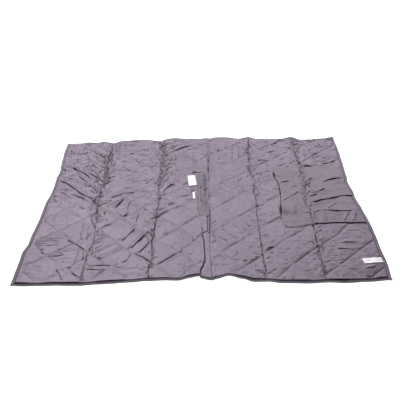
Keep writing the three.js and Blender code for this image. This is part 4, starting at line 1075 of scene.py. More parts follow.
def on_grid(grid, i, j):
    """Points of a finished grid at any places on it"""
    i = np.clip(i, grid["i"][0], grid["i"][-1])
    j = np.clip(j, grid["j"][0], grid["j"][-1])
    a = np.clip(np.searchsorted(grid["i"], i, side="right") - 1, 0, len(grid["i"]) - 2)
    b = np.clip(np.searchsorted(grid["j"], j, side="right") - 1, 0, len(grid["j"]) - 2)
    fa = ((i - grid["i"][a]) / (grid["i"][a + 1] - grid["i"][a]))[..., None]
    fb = ((j - grid["j"][b]) / (grid["j"][b + 1] - grid["j"][b]))[..., None]
    p = grid["top"]
    low = p[a, b] + (p[a + 1, b] - p[a, b]) * fa
    high = p[a, b + 1] + (p[a + 1, b + 1] - p[a, b + 1]) * fa
    return low + (high - low) * fb


def soft_height(grid, i, j, reach=0.3):
    """Height of a finished grid, evened out over a small neighbourhood"""
    around = [(0, 0), (reach, 0), (-reach, 0), (0, reach), (0, -reach)]
    return np.mean([on_grid(grid, i + a, j + b)[..., 2] for a, b in around], 0)


def edge_distance(i, j, outer):
    """Distance from the nearest bound edge, in millimetres"""
    side = (i if outer == "left" else COLUMN["right"] - i) * COLUMN_STEP
    return side, np.minimum(side, np.minimum(j, ROWS - j) * ROW_STEP)


def under_pocket(i, j):
    """1 well inside the pocket's outline and 0 outside it"""
    inside = np.minimum((i - POCKET["first"]) * COLUMN_STEP,
                        np.minimum(j - POCKET["bottom"], POCKET["top"] - j) * ROW_STEP)
    return ease((inside - 4) / 14)


def under_facing(x, y):
    inside = np.minimum(np.minimum(x - FACING["left"], FACING["right"] - x),
                        np.minimum(y - FACING["bottom"], FACING["top"] - y))
    return ease((inside - 2) / 8)


def seam_way(name, j):
    """How far a seam's line sways to the side of its column, in millimetres"""
    walk, apart = j * ROW_STEP, j * 0 + 100 * COLUMN[name]
    return sum(height * value_noise(walk, apart, length, 5, 38) for length, height in SEAM_SWAY)


def off_seam(name, i, j):
    """Distance to the side of a seam's swaying line, in millimetres"""
    return (i - COLUMN[name]) * COLUMN_STEP - seam_way(name, j)


def seam_distance(i, j):
    return np.min([np.abs(off_seam(name, i, j)) for name in SEAMS], 0)


def seam_shade_strength(name, y):
    """How much shade is painted along a seam's line, from 0 to 1"""
    uneven = 0.75 + 0.8 * value_noise(y, y * 0 + COLUMN[name], 11, 5, 35)
    return np.clip(along(SEAM_SHADE[name], y) * uneven, 0, 1)


def seam_shade(i, j, y):
    """Painted shade of the seams at each place, from 0 to 1"""
    total = np.zeros(i.shape)
    for name in SEAMS:
        dark = seam_shade_strength(name, y)
        total = np.maximum(total, dark * np.exp(-(off_seam(name, i, j) / (1.8 + 2.8 * dark)) ** 2))
    return total


def mouth_gap(y):
    """Width of the gap along the pocket's mouth, where shade is painted"""
    wide = sum(extra * np.exp(-((y - at) / reach) ** 2) for at, extra, _, reach in MOUTH_GAPES)
    return MOUTH_GAP + wide + 1.5 * value_noise(y, y * 0, 30, 5, 36)


def mouth_open(y):
    """1 along the pocket's mouth and 0 past its two ends"""
    return ease((y - MOUTH_ENDS[0]) / 10) * ease((MOUTH_ENDS[1] - y) / 30)


def mouth_shade(x, y):
    """1 in the gap along the pocket's mouth, where the cloth is sunk and shade is painted"""
    off = np.abs(x - along(MOUTH_LINE, y) - 3)
    return ease((mouth_gap(y) / 2 + 4.5 - off) / 4) * mouth_open(y)


def pocket_edge_shade(i, j, x):
    """Shade painted just in front of the pocket's lower edge"""
    ahead = (POCKET["bottom"] - j) * ROW_STEP
    within = ease((i - POCKET["first"] - 0.2) * 2)
    return along(POCKET_EDGE_SHADE, x) * np.exp(-((ahead - 1) / 4.5) ** 2) * within


def padding(i, j, x, y, outer, cover, deep):
    """Thickness of the quilted cloth away from its edges, without folds"""
    loft = 1 - (1 - diamond_loft(i, j)) * quilting_faintness(x, y)
    edge = edge_distance(i, j, outer)[1]
    loft = np.maximum(loft, 0.6 * (1 - ease(edge / 34)))
    loft = loft + (COVERED_LOFT - loft) * cover
    depth = 0.3 + 0.5 * seam_shade(i, j, y) + 0.3 * value_noise(x * 0, y, 1, 26, 31)
    loft = loft * (1 - np.clip(depth, 0, 1) * np.exp(-(seam_distance(i, j) / SEAM_REACH) ** 2))
    further = 1 + BACK_ROUGHER * far_share(y)
    rough = ROUGHNESS * (crumple(x, y) + streaks(x, y)) * further + 0.9 * line_puckers(i, j, x, y)
    sunk = DEEP_DEPTH * deep * (1 - cover)
    return STITCHED_THICKNESS + LOFT * loft - sunk + rough * ease(loft * 1.3) * (1 - 0.8 * cover)


# Shade painted along the stitch lines, fainter at the back of the left half
def line_shade(i, j, x, y):
    up, down = lattice(i, j)
    nearest = np.minimum(to_line(up), to_line(down))
    uneven = 0.8 + 0.5 * value_noise(x, y, 60, 60, 34)
    return LINE_SHADE_LEVEL * uneven * quilting_faintness(x, y) * np.exp(-(nearest / 2.8) ** 2)


def at_jog(y):
    """1 where the free edge jogs over to the slot, and 0 away from there"""
    return np.exp(-((y - JOG["y"]) / JOG["reach"]) ** 2)


def open_centre(y, outer):
    """1 where a half's centre edge is free of the other half, and 0 where they are sewn together"""
    free = ease((SLOT["back"] - y) / 20)
    if outer == "right":
        return free * ease((y - SLOT["front"]) / 20)
    return free * (1 - at_jog(y))


def quilt_grid(outer, plan, creases):
    """Upper side of one half of the quilted cloth, with its folds and painted shade"""
    if outer == "left":
        places_i = fine_places(COLUMN["left"], COLUMN["centre"], RIM_PLACES, CENTRE_PLACES)
    else:
        places_i = fine_places(COLUMN["centre"], COLUMN["right"], CENTRE_PLACES, RIM_PLACES)
    places_j = fine_places(0, ROWS, RIM_PLACES, RIM_PLACES)
    i, j = np.meshgrid(places_i, places_j, indexing="ij")
    x, y = plan(i, j)
    side, edge = edge_distance(i, j, outer)
    middle = np.abs(i - COLUMN["centre"]) * COLUMN_STEP
    cover = under_pocket(i, j) if outer == "right" else under_facing(x, y)
    free = open_centre(y, outer)
    folds, shift_x, shift_y, shade, sunk = add_creases(creases, x, y)
    calm = ease((edge - RIM_LAP) / 14) * ease(middle / 9) * (1 - cover)
    folds, shift_x, shift_y, shade, sunk = (value * calm for value in (folds, shift_x, shift_y, shade, sunk))
    deep = deep_quilting(plan, i, j)
    pit = pits(x, y) * (1 - cover) * ease((edge - RIM_LAP) / 4)
    gap = mouth_shade(x, y) if outer == "right" else 0
    full = padding(i, j, x, y, outer, cover, deep)
    rise = 1 - (1 - np.clip((edge - RIM_LAP) / RIM_RISE, 0, 1)) ** 2
    z = RIM_THICKNESS + (full - RIM_THICKNESS) * rise
    sewn = STITCHED_THICKNESS + (z - STITCHED_THICKNESS) * (1 - np.exp(-(middle / SEAM_REACH) ** 2))
    roll = np.sqrt(np.clip(1 - (1 - np.clip(middle / ROLL_RADIUS, 0, 1)) ** 2, 0, 1))
    rolled = 1 + (z + ROLL_RISE * np.exp(-(middle / 16) ** 2) - 1) * roll
    hollow = np.clip(sunk + PIT_DEPTH * pit + 2.5 * gap, 0, 3.5) * rise
    z = np.maximum(sewn + (rolled - sewn) * free + folds - hollow, LEAST_HEIGHT) + lift_at(x, y)
    bulge = RIM_BULGE * np.sin(np.pi * np.clip((edge - RIM_LAP) / 13, 0, 1)) * (edge > RIM_LAP)
    out_x = np.where(edge == side, -1 if outer == "left" else 1, 0)
    out_y = np.where(edge == j * ROW_STEP, -1, 0) + np.where(edge == (ROWS - j) * ROW_STEP, 1, 0)
    shift_x, shift_y = shift_x + bulge * out_x, shift_y + bulge * out_y
    limit = np.minimum(1, SHIFT_LIMIT / np.clip(np.hypot(shift_x, shift_y), 1e-9, None))
    # Shade painted on the steep front rim behind the front tape
    front = j * ROW_STEP - RIM_LAP
    front_reach = FRONT_SHADE_REACH + 2 * value_noise(x, x * 0, 45, 5, 37)
    centre_dark = along(SEAM_SHADE["centre"], y)
    off_jog = 1 - (outer == "left") * at_jog(y)
    # Painted shade: along stitch lines, seams, pits and the pocket's mouth, beside the centre line and the free
    # edges, at the bound rims, on the front rim and in front of the pocket's lower edge
    shade = np.max([
        shade, (line_shade(i, j, x, y) + DEEP_LINE_SHADE * deep) * (1 - cover) * ease(edge / 12),
        0.95 * seam_shade(i, j, y) * (1 - cover), 0.95 * pit, gap + 0 * x,
        centre_dark * np.exp(-(middle / (2.2 + 2.2 * centre_dark)) ** 2) * off_jog,
        free * np.exp(-(middle / 5) ** 4),
        0.5 * np.exp(-((edge - RIM_LAP) / 3) ** 2),
        ease((front_reach - front) / 4) * (front > -2),
        pocket_edge_shade(i, j, x) if outer == "right" else 0 * x,
    ], 0)
    top = np.stack([x + shift_x * limit, y + shift_y * limit, z], -1)
    return {"i": places_i, "j": places_j, "top": top, "folds": folds, "shade": np.clip(shade, 0, 1)}


# Meshes
def in_row(points):
    """Plan points in millimetres as points of the row's frame in metres"""
    return np.asarray(points, float).reshape(-1, 3) * MM + SHIFT


def make_object(name, points, faces, material, nodes=(), shade=None, smooth=True):
    mesh = bpy.data.meshes.new(name)
    mesh.from_pydata(in_row(points).tolist(), [], faces)
    mesh.polygons.foreach_set("use_smooth", [smooth] * len(mesh.polygons))
    mesh.materials.append(material)
    # The shade attribute holds the painted shade that the cloth's material mixes in
    if shade is not None:
        values = mesh.attributes.new("shade", "FLOAT", "POINT").data
        values.foreach_set("value", np.asarray(shade, float).ravel())
    mesh.update()
    piece = bpy.data.objects.new(name, mesh)
    bpy.context.scene.collection.objects.link(piece)
    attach(piece, "root")
    if nodes:
        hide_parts(*nodes)
    return piece


def grid_faces(index):
    """Quads over an array of point numbers, facing up"""
    a, b, c, d = index[:-1, :-1], index[1:, :-1], index[1:, 1:], index[:-1, 1:]
    return np.stack([a, b, c, d], -1).reshape(-1, 4)


def coarse(count, step):
    return np.array(sorted(set(range(0, count, step)) | {count - 1}))


def closed_sheet(top, bottom_of, step):
    """Points and faces of a closed sheet: a fine upper side, a coarser underside and a wall between them"""
    rows_i, rows_j = top.shape[:2]
    upper = np.arange(rows_i * rows_j).reshape(rows_i, rows_j)
    ci, cj = coarse(rows_i, step), coarse(rows_j, step)
    bottom = bottom_of(ci, cj)
    lower = upper.size + np.arange(len(ci) * len(cj)).reshape(len(ci), len(cj))
    faces = grid_faces(upper).tolist() + grid_faces(lower)[:, ::-1].tolist()
    sides = [
        (upper[:, 0], lower[:, 0], ci),
        (upper[-1], lower[-1], cj),
        (upper[::-1, -1], lower[::-1, -1], rows_i - 1 - ci[::-1]),
        (upper[0, ::-1], lower[0, ::-1], rows_j - 1 - cj[::-1]),
    ]
    for above, below, at in sides:
        for k in range(len(at) - 1):
            wall = above[at[k]:at[k + 1] + 1][::-1].tolist()
            faces.append([int(below[k]), int(below[k + 1])] + wall)
    points = np.concatenate([top.reshape(-1, 3), bottom.reshape(-1, 3)])
    return points, faces


def add_sheet(name, top, bottom_of, step, material, nodes, shade):
    points, faces = closed_sheet(top, bottom_of, step)
    extra = len(points) - shade.size
    shade = np.concatenate([shade.ravel(), np.zeros(extra)])
    return make_object(name, points, faces, material, nodes, shade)


# Quilted panels
def panels(grid, outer, names, seams, node):
    """The quilted cloth between one seam and the next, each with its raw edges inside the binding"""
    pieces = []
    places = [int(np.argmin(np.abs(grid["i"] - COLUMN[seam]))) for seam in seams]
    for name, a, b in zip(names, places[:-1], places[1:]):
        left = outer == "left" and a == 0
        right = outer == "right" and b == len(grid["i"]) - 1
        edges = ((int(left), int(right)), (1, 1))
        top = np.pad(grid["top"][a:b + 1], edges + ((0, 0),), mode="edge")
        folds = np.pad(grid["folds"][a:b + 1], edges, mode="edge")
        shade = np.pad(grid["shade"][a:b + 1], edges, mode="edge")
        if left:
            top[0, :, 0] -= TONGUE
        if right:
            top[-1, :, 0] += TONGUE
        top[:, 0, 1] -= TONGUE
        top[:, -1, 1] += TONGUE

        def bottom_of(ci, cj):
            at = np.ix_(ci, cj)
            under = top[at].copy()
            rim = np.zeros(under.shape[:2])
            rim[:, [0, -1]] = RIM_FOOT
            if left:
                rim[0] = RIM_FOOT
            if right:
                rim[-1] = RIM_FOOT
            under[..., 2] = lift_at(under[..., 0], under[..., 1]) + np.maximum(rim, 0.4 * folds[at])
            return under

        pieces.append(add_sheet(name, top, bottom_of, 3, shell, [node], shade))
    return pieces


def fly():
    """The strip of cloth between the free front edges"""
    places_i = np.linspace(0, FLY_COLUMNS, 22)
    beyond = FLY_TOP_ROW + FLY_END * np.array([0.3, 0.6, 0.85])
    places_j = np.concatenate([fine_places(0, FLY_TOP_ROW, RIM_PLACES, FREE_PLACES), beyond])
    i, j = np.meshgrid(places_i, places_j, indexing="ij")
    x, y = plan_fly(i, j)
    across = i / FLY_COLUMNS
    jog = at_jog(y)
    folds, shift_x, shift_y, shade, _ = add_creases(read_creases(FLY_CREASES), x, y)
    z = 1.6 + 1.6 * np.sin(np.pi * np.clip(across, 0, 1)) ** 0.6 + 0.4 * crumple(x + 300, y)
    z = z + 1.6 * jog * (1 - across)
    front = ease((j * ROW_STEP - RIM_LAP) / RIM_RISE)
    z = RIM_THICKNESS + (z - RIM_THICKNESS + folds) * front
    top = np.stack([x + shift_x, y + shift_y, z + lift_at(x, y)], -1)
    # Shade painted along the fly's two edges, across its front and in the slot
    width = x[-1:] - x[:1]
    in_slot = ease((y - SLOT["front"]) / 16)
    free_dark = ease((8 - 4.5 * in_slot - across * width) / 3) * (1 - jog)
    sewn_dark = np.exp(-((1 - across) * width / 2.2) ** 2) * (0.45 + 0.55 * in_slot)
    front_dark = ease((FRONT_SHADE_REACH - j * ROW_STEP + RIM_LAP) / 4) * (j * ROW_STEP > RIM_LAP - 2)
    shade = np.max([shade, free_dark, sewn_dark, front_dark, 0.25 * in_slot], 0)
    shade = np.pad(shade, ((0, 0), (1, 0)), mode="edge")
    top = np.pad(top, ((0, 0), (1, 0), (0, 0)), mode="edge")
    top[:, 0, 1] -= TONGUE

    def bottom_of(ci, cj):
        under = top[np.ix_(ci, cj)].copy()
        under[..., 2] = lift_at(under[..., 0], under[..., 1])
        under[:, 0, 2] += RIM_FOOT
        return under

    return add_sheet("front_fly_cloth", top, bottom_of, 3, shell, ["front_fly"], shade)


# Binding
def tape(name, x, y, out, node, past_ends=False):
    """Tape folded round a raw edge. x and y run along the cloth's edge and out is the way out of it"""
    walk = np.concatenate([[0], np.cumsum(np.hypot(np.diff(x), np.diff(y)))])
    apart = walk * 0 + len(name) * 7
    wave = value_noise(walk, apart, 38, 5, 71)[:, None]
    fine = value_noise(walk, apart, 9, 5, 72)[:, None]
    ring = np.array(TAPE_SECTION)
    s = np.repeat(ring[None, :, 0], len(x), 0)
    z = np.repeat(ring[None, :, 1], len(x), 0)
    outer_part = np.clip(s / BAND_WIDTH, 0, 1)
    upper_part = np.clip((z - 1.5) / 2, 0, 1)
    s = s + (0.7 * wave + 0.25 * fine) * outer_part
    arch = np.sin(np.pi * np.clip(s / BAND_WIDTH, 0, 1))
    z = z + (0.35 * wave + 0.3 * fine) * upper_part * arch
    if past_ends:
        for end in (slice(None, 2), slice(-2, None)):
            s[end] = np.maximum(s[end], GAP)
    level = lift_at(x, y)[:, None] + z
    points = np.stack([x[:, None] + out[0] * s, y[:, None] + out[1] * s, level], -1)
    index = np.arange(s.size).reshape(s.shape)
    index = np.concatenate([index, index[:, :1]], 1)
    faces = grid_faces(index).tolist() + [index[0, :-1].tolist()[::-1], index[-1, :-1].tolist()]
    if (x[-1] - x[0]) * out[1] >= (y[-1] - y[0]) * out[0]:
        faces = [face[::-1] for face in faces]
    # Shade painted on the tape's upper lip next to the cloth, more at the front
    lip = np.interp(ring[:, 0], LIP_PLACES, HEM_LIP_SHADE if "front" in node else SIDE_LIP_SHADE, right=0)
    dark = np.where((ring[:, 1] > 2.9) | (ring[:, 0] < -1), lip, 0)
    shade = dark * np.clip(1 + 0.3 * wave, 0, 1)
    return make_object(name, points.reshape(-1, 3), faces, binding, [node], shade)


def side_edge(plan, column):
    j = fine_places(0, ROWS, TAPE_PLACES, TAPE_PLACES)
    x, y = plan(np.full_like(j, column), j)
    past = BAND_WIDTH + GAP
    x = np.concatenate([[x[0], x[0]], x, [x[-1], x[-1]]])
    y = np.concatenate([[y[0] - past, y[0] - past / 2], y, [y[-1] + past / 2, y[-1] + past]])
    return x, y


def cross_edge(plan, first, last, row):
    i = np.arange(first, last + 1e-9, EDGE_STEP)
    return plan(i, np.full_like(i, row))


def bindings():
    """The five tapes: left, right, front left, front right with the fly, and back"""
    left, centre, right = COLUMN["left"], COLUMN["centre"], COLUMN["right"]
    across_fly = np.arange(0, FLY_COLUMNS, EDGE_STEP)
    front_left = cross_edge(plan_left, left, centre, 0)
    front_right = np.hstack([plan_fly(across_fly, across_fly * 0), cross_edge(plan_right, centre, right, 0)])
    back_left = cross_edge(plan_left, left, centre - EDGE_STEP, ROWS)
    back = np.hstack([back_left, cross_edge(plan_right, centre, right, ROWS)])
    return [
        tape("binding_left_tape", *side_edge(plan_left, left), (-1, 0), "binding_left", True),
        tape("binding_right_tape", *side_edge(plan_right, right), (1, 0), "binding_right", True),
        tape("binding_front_left_tape", *front_left, (0, -1), "binding_front_left"),
        tape("binding_front_right_tape", *front_right, (0, -1), "binding_front_right"),
        tape("binding_back_tape", *back, (0, 1), "binding_back"),
    ]


# Pocket and facing
def pocket(grid):
    """The plain pocket panel, open at its left side, where its edge stands off the cloth"""
    bottom, top_row = POCKET["bottom"], POCKET["top"]
    edge_places = [0, 0.04, 0.09, 0.16, 0.25, 0.36, 0.48, 0.6, 0.73, 0.86]
    places_j = fine_places(bottom, top_row, edge_places, edge_places)
    steps = fine_places(POCKET["first"], POCKET["last"], edge_places, edge_places)
    share = (steps - steps[0]) / (steps[-1] - steps[0])
    down = np.clip(CORNER_RADIUS - (places_j - bottom) * ROW_STEP, 0, None)
    inset = (CORNER_RADIUS - np.sqrt(np.clip(CORNER_RADIUS ** 2 - down ** 2, 0, None))) / COLUMN_STEP
    nominal = FRONT_Y + ROW_STEP * places_j
    edge_x = along(MOUTH_LINE, nominal) + mouth_gap(nominal) / 2 - along(PATHS["mouth"], nominal)
    first = POCKET["first"] + inset + edge_x / COLUMN_STEP
    last = POCKET["last"] - (RIM_LAP + 0.3) / COLUMN_STEP
    i = first[None] + (last - first[None]) * share[:, None]
    j = np.repeat(places_j[None], len(share), 0)
    x, y = plan_right(i, j)
    from_mouth = (i - first[None]) * COLUMN_STEP
    creases = read_creases(POCKET_CREASES) + gathers_of(POCKET_GATHERS) + tucks_of(POCKET_TUCKS)
    folds, shift_x, shift_y, shade, _ = add_creases(creases, x, y)
    ends = np.minimum(j - bottom, top_row - j) * ROW_STEP
    calm = ease(ends / 10) * ease(from_mouth / 12)
    folds, shift_x, shift_y, shade = folds * calm, shift_x * calm, shift_y * calm, shade * calm
    gape = sum(height * np.exp(-((y - at) / reach) ** 2) for at, _, height, reach in MOUTH_GAPES)
    gape = gape * np.exp(-(from_mouth / 34) ** 2)
    edge_dark = along(POCKET_EDGE_SHADE, x)
    edge_roll = 3 * edge_dark * np.exp(-(((j - bottom) * ROW_STEP - 7) / 7) ** 2) * ease(from_mouth / 60)
    hem = 0.9 * (1 - ease((from_mouth - 15) / 3)) - 0.5 * np.exp(-((from_mouth - 14) / 1.6) ** 2)
    sewn = (0.6 - 2.2 * (1 - edge_dark)) * (1 - ease((ends - 3) / 5))
    rough = 0.8 * crumple(x + 900, y + 400) + 1.6 * value_noise(x, y, 90, 60, 81)
    valley = 1.6 * np.exp(-(np.abs(i - COLUMN["seam_five"]) * COLUMN_STEP / 7) ** 2)
    under = soft_height(grid, i, j)
    z = under + LAYER_GAP + PATCH_THICKNESS + (rough + 0.8) * ease(ends / 14) * ease(from_mouth / 20) - valley
    z = np.maximum(z + sewn, under + LAYER_GAP + 0.8) + folds + gape + hem + edge_roll
    top = np.stack([x + shift_x, y + shift_y, z], -1)
    # Painted shade along seam five, the pocket's lower edge and its mouth
    seam = seam_shade_strength("seam_five", y) * np.exp(-(off_seam("seam_five", i, j) / 3.6) ** 2)
    shade = np.max([shade, seam, edge_dark * np.exp(-((j - bottom) * ROW_STEP / 4) ** 2),
                    np.exp(-(from_mouth / 1.5) ** 2) * mouth_open(y)], 0)

    def bottom_of(ci, cj):
        at = np.ix_(ci, cj)
        below = top[at].copy()
        free = np.exp(-(from_mouth[at] / 40) ** 2)
        low = under[at] + 0.3
        below[..., 2] = low + (below[..., 2] - PATCH_THICKNESS + 0.6 - low) * free
        return below

    return add_sheet("pocket_cloth", top, bottom_of, 3, plain, ["pocket_panel"], shade)


def facing(grid):
    """The neck facing, with its half-round tongue"""
    radius = (FACING["right"] - FACING["left"]) / 2
    middle = (FACING["right"] + FACING["left"]) / 2
    turns = np.linspace(0.04, math.pi / 2, 14)
    round_y = FACING["bottom"] + radius * (1 - np.cos(turns))
    straight = np.arange(FACING["bottom"] + radius + 4, FACING["top"] - 1, 3.4)
    places_y = np.concatenate([round_y, straight, [FACING["top"] - 1, FACING["top"]]])
    rounded = np.sqrt(np.clip(radius ** 2 - (FACING["bottom"] + radius - places_y) ** 2, 1, None))
    half = np.where(places_y < FACING["bottom"] + radius, rounded, radius)
    share = np.concatenate([[-1, -0.97, -0.92], np.linspace(-0.84, 0.84, 19), [0.92, 0.97, 1]])
    x = middle + share[:, None] * half[None]
    y = np.repeat(places_y[None], len(share), 0)
    i, j = find_cell(plan_left, x, y)
    under = soft_height(grid, i, j)
    folds, shift_x, shift_y, shade, sunk = add_creases(read_creases(FACING_CREASES), x, y)
    inside = np.minimum(half[None] - np.abs(x - middle), np.minimum(y - FACING["bottom"], FACING["top"] - y))
    calm = ease(inside / 6)
    z = under + LAYER_GAP + PATCH_THICKNESS - 0.7 * (1 - ease(inside / 3))
    z = z + (folds - 0.4 * sunk + 0.5 * crumple(x, y + 900)) * calm
    top = np.stack([x + shift_x * calm, y + shift_y * calm, np.maximum(z, under + LAYER_GAP + 0.8)], -1)

    def bottom_of(ci, cj):
        at = np.ix_(ci, cj)
        below = top[at].copy()
        below[..., 2] = under[at] + 0.25
        return below

    # Shade painted in the facing's creases, and no less than FACING_SHADE all over
    shade = np.maximum(shade * calm, FACING_SHADE)
    piece = add_sheet("neck_facing_cloth", top, bottom_of, 2, plain, ["neck_facing"], shade)
    return piece, {"x": x, "y": y, "top": top}


# Labels, snaps and sewing
def label_piece(name, node, at, size, turn, plan, grid, material, curl):
    """A thin blank label that follows the cloth, with its free end a little raised"""
    across = np.linspace(-0.5, 0.5, max(6, int(size[0] / 3)))
    up = np.linspace(-0.5, 0.5, max(6, int(size[1] / 3)))
    u, v = np.meshgrid(across * size[0], up * size[1], indexing="ij")
    angle = math.radians(turn)
    x = at[0] + u * math.cos(angle) - v * math.sin(angle)
    y = at[1] + u * math.sin(angle) + v * math.cos(angle)
    i, j = find_cell(plan, x, y)
    under = on_grid(grid, i, j)[..., 2]
    smooth_under = soft_height(grid, i, j, 0.4)
    bow = curl * (0.5 - v / size[1]) ** 2 + 0.3 * value_noise(x, y, 30, 24, 90)
    z = np.maximum(under + 0.3, smooth_under) + 0.5 + bow
    top = np.stack([x, y, z + 0.45], -1)

    def bottom_of(ci, cj):
        below = top[np.ix_(ci, cj)].copy()
        below[..., 2] -= 0.45
        return below

    return add_sheet(name, top, bottom_of, 1, material, [node], np.zeros(x.shape))


def snap(name, at, facing_grid):
    """A snap cap: a rounded ring with a sunk middle"""
    distance = np.hypot(facing_grid["x"] - at[0], facing_grid["y"] - at[1])
    z0 = facing_grid["top"][..., 2][distance < SNAP_RADIUS + 2].max() + 0.1
    angle = np.arange(SNAP_SIDES) / SNAP_SIDES * 2 * np.pi
    points = [(at[0], at[1], z0)]
    for r, h in SNAP_SECTION[1:-1]:
        points += [(at[0] + r * math.cos(a), at[1] + r * math.sin(a), z0 + h) for a in angle]
    points.append((at[0], at[1], z0 + SNAP_SECTION[-1][1]))
    faces = []
    rings = len(SNAP_SECTION) - 2
    last = 1 + (rings - 1) * SNAP_SIDES
    for k in range(SNAP_SIDES):
        n = (k + 1) % SNAP_SIDES
        faces.append([0, 1 + n, 1 + k])
        for a in range(1, last, SNAP_SIDES):
            b = a + SNAP_SIDES
            faces.append([a + k, a + n, b + n, b + k])
        faces.append([last + k, last + n, len(points) - 1])
    return make_object(name + "_cap", points, faces, metal, [name])


def unit(ways):
    return ways / np.clip(np.linalg.norm(ways, axis=1, keepdims=True), 1e-9, None)


def grains(name, places, ways, size):
    """Stitches, each a small pointed grain of thread at a place and along a way"""
    ways = unit(ways)
    side = unit(np.cross([0, 0, 1], ways))
    up = np.cross(ways, side)
    axes = zip((ways, side, up), size)
    corners = np.stack([places + sign * way * long / 2 for way, long in axes for sign in (-1, 1)], 1)
    faces = np.array([[0, 2, 5], [2, 1, 5], [1, 3, 5], [3, 0, 5], [2, 0, 4], [1, 2, 4], [3, 1, 4], [0, 3, 4]])
    every = (np.arange(len(places))[:, None, None] * 6 + faces[None]).reshape(-1, 3)
    return make_object(name, corners.reshape(-1, 3), every.tolist(), thread, smooth=False)


def sewn_line(points, pitch):
    """Places and ways of stitches along a line of points"""
    steps = np.linalg.norm(np.diff(points, axis=0), axis=1)
    walk = np.concatenate([[0], np.cumsum(steps)])
    at = np.arange(pitch / 2, walk[-1], pitch)
    places = np.stack([np.interp(at, walk, points[:, k]) for k in range(3)], 1)
    ahead = np.stack([np.interp(np.minimum(at + 1, walk[-1]), walk, points[:, k]) for k in range(3)], 1)
    return places, ahead - places


def line_on(grid, i, j):
    points = on_grid(grid, i, j)
    points[:, 2] += 0.15
    return points


def by_facing(i, j):
    """Where the neck facing covers the left half, and between it and the centre line"""
    x, y = plan_left(i, j)
    return (x > FACING["left"] - 1) & (y > FACING["bottom"]) & (y < FACING["top"])


def by_pocket(i, j):
    """Where the pocket panel covers the right half"""
    return (i > POCKET["first"]) & (j > POCKET["bottom"]) & (j < POCKET["top"])


def quilting_lines(grid, first, last, covered):
    """The two sets of slanting lines, and a double line beside each seam"""
    lines = []
    margin = (RIM_LAP + 3) / ROW_STEP
    j = np.arange(margin, ROWS - margin, 0.04)
    for k in range(-12, 13):
        for way in (1, -1):
            even = CROSSING[0] + DIAMOND_CELLS * k + way * (j - CROSSING[1])
            i = even
            for _ in range(4):
                i = even + line_drift(i, j)[0 if way > 0 else 1]
            inside = (i > first + 0.15) & (i < last - 0.15) & ~covered(i, j)
            starts = np.flatnonzero(np.diff(np.concatenate([[0], inside.astype(int), [0]])))
            for a, b in zip(starts[::2], starts[1::2]):
                if b - a > 8:
                    lines.append(line_on(grid, i[a:b], j[a:b]))
    for name in SEAMS:
        if first < COLUMN[name] < last:
            for side in (-0.085, 0.085):
                i = COLUMN[name] + side + seam_way(name, j) / COLUMN_STEP
                shown = ~covered(i, j)
                lines.append(line_on(grid, i[shown], j[shown]))
    return lines


def sew(name, lines):
    places, ways = zip(*[sewn_line(line, STITCH_PITCH) for line in lines if len(line) > 1])
    return grains(name, np.concatenate(places), np.concatenate(ways), STITCH_SIZE)


def bar_tack(name, at, length, grid, plan):
    """A dense short row of thread across an opening's end"""
    x = at[0] + np.arange(-length / 2, length / 2, TACK_PITCH)
    y = np.full_like(x, at[1])
    z = on_grid(grid, *find_cell(plan, x, y))[..., 2].max() + 0.5
    places = np.stack([x, y, np.full_like(x, z)], 1)
    return grains(name, places, np.tile([0.0, 1.0, 0.0], (len(x), 1)), TACK_SIZE)


# Materials
def node_tree(name):
    material = bpy.data.materials.new(name)
    material.use_nodes = True
    nodes, links = material.node_tree.nodes, material.node_tree.links
    return material, nodes, links, nodes["Principled BSDF"]


def cloth_material(name, light, dark, roughness, metallic=0.0, crinkle=0.35):
    """Thin woven cloth: two close tones, with shade painted into its creases, and with fine crinkles and a
    sheen
    """
    material, nodes, links, shader = node_tree(name)
    place = nodes.new("ShaderNodeTexCoord")
    cloud = nodes.new("ShaderNodeTexNoise")
    cloud.inputs["Scale"].default_value = 3.1
    cloud.inputs["Detail"].default_value = 4
    ramp = nodes.new("ShaderNodeValToRGB")
    ramp.color_ramp.elements[0].position = 0.35
    ramp.color_ramp.elements[0].color = (*dark, 1)
    ramp.color_ramp.elements[1].position = 0.65
    ramp.color_ramp.elements[1].color = (*light, 1)
    # The shade attribute mixes the colour towards the painted shade's colour
    shade = nodes.new("ShaderNodeAttribute")
    shade.attribute_name = "shade"
    mix = nodes.new("ShaderNodeMix")
    mix.data_type = "RGBA"
    mix.blend_type = "MIX"
    mix.inputs["B"].default_value = (*PAINTED_SHADE_COLOUR, 1)
    links.new(place.outputs["Object"], cloud.inputs["Vector"])
    links.new(cloud.outputs["Fac"], ramp.inputs["Fac"])
    links.new(shade.outputs["Fac"], mix.inputs["Factor"])
    links.new(ramp.outputs["Color"], mix.inputs["A"])
    links.new(mix.outputs["Result"], shader.inputs["Base Color"])
    shader.inputs["Roughness"].default_value = roughness
    shader.inputs["Metallic"].default_value = metallic
    shader.inputs["Specular IOR Level"].default_value = SPECULAR_LEVEL
    wrinkle = nodes.new("ShaderNodeTexNoise")
    wrinkle.inputs["Scale"].default_value = 85
    wrinkle.inputs["Detail"].default_value = 6
    wrinkle.inputs["Distortion"].default_value = 0.6
    bump = nodes.new("ShaderNodeBump")
    bump.inputs["Strength"].default_value = crinkle
    bump.inputs["Distance"].default_value = 0.0015
    links.new(place.outputs["Object"], wrinkle.inputs["Vector"])
    links.new(wrinkle.outputs["Fac"], bump.inputs["Height"])
    links.new(bump.outputs["Normal"], shader.inputs["Normal"])
    return material


def even_material(name, colour, roughness, metallic=0.0):
    """One colour all over, for thread and snaps"""
    material, _, _, shader = node_tree(name)
    shader.inputs["Base Color"].default_value = (*colour, 1)
    shader.inputs["Roughness"].default_value = roughness
    shader.inputs["Metallic"].default_value = metallic
    return material


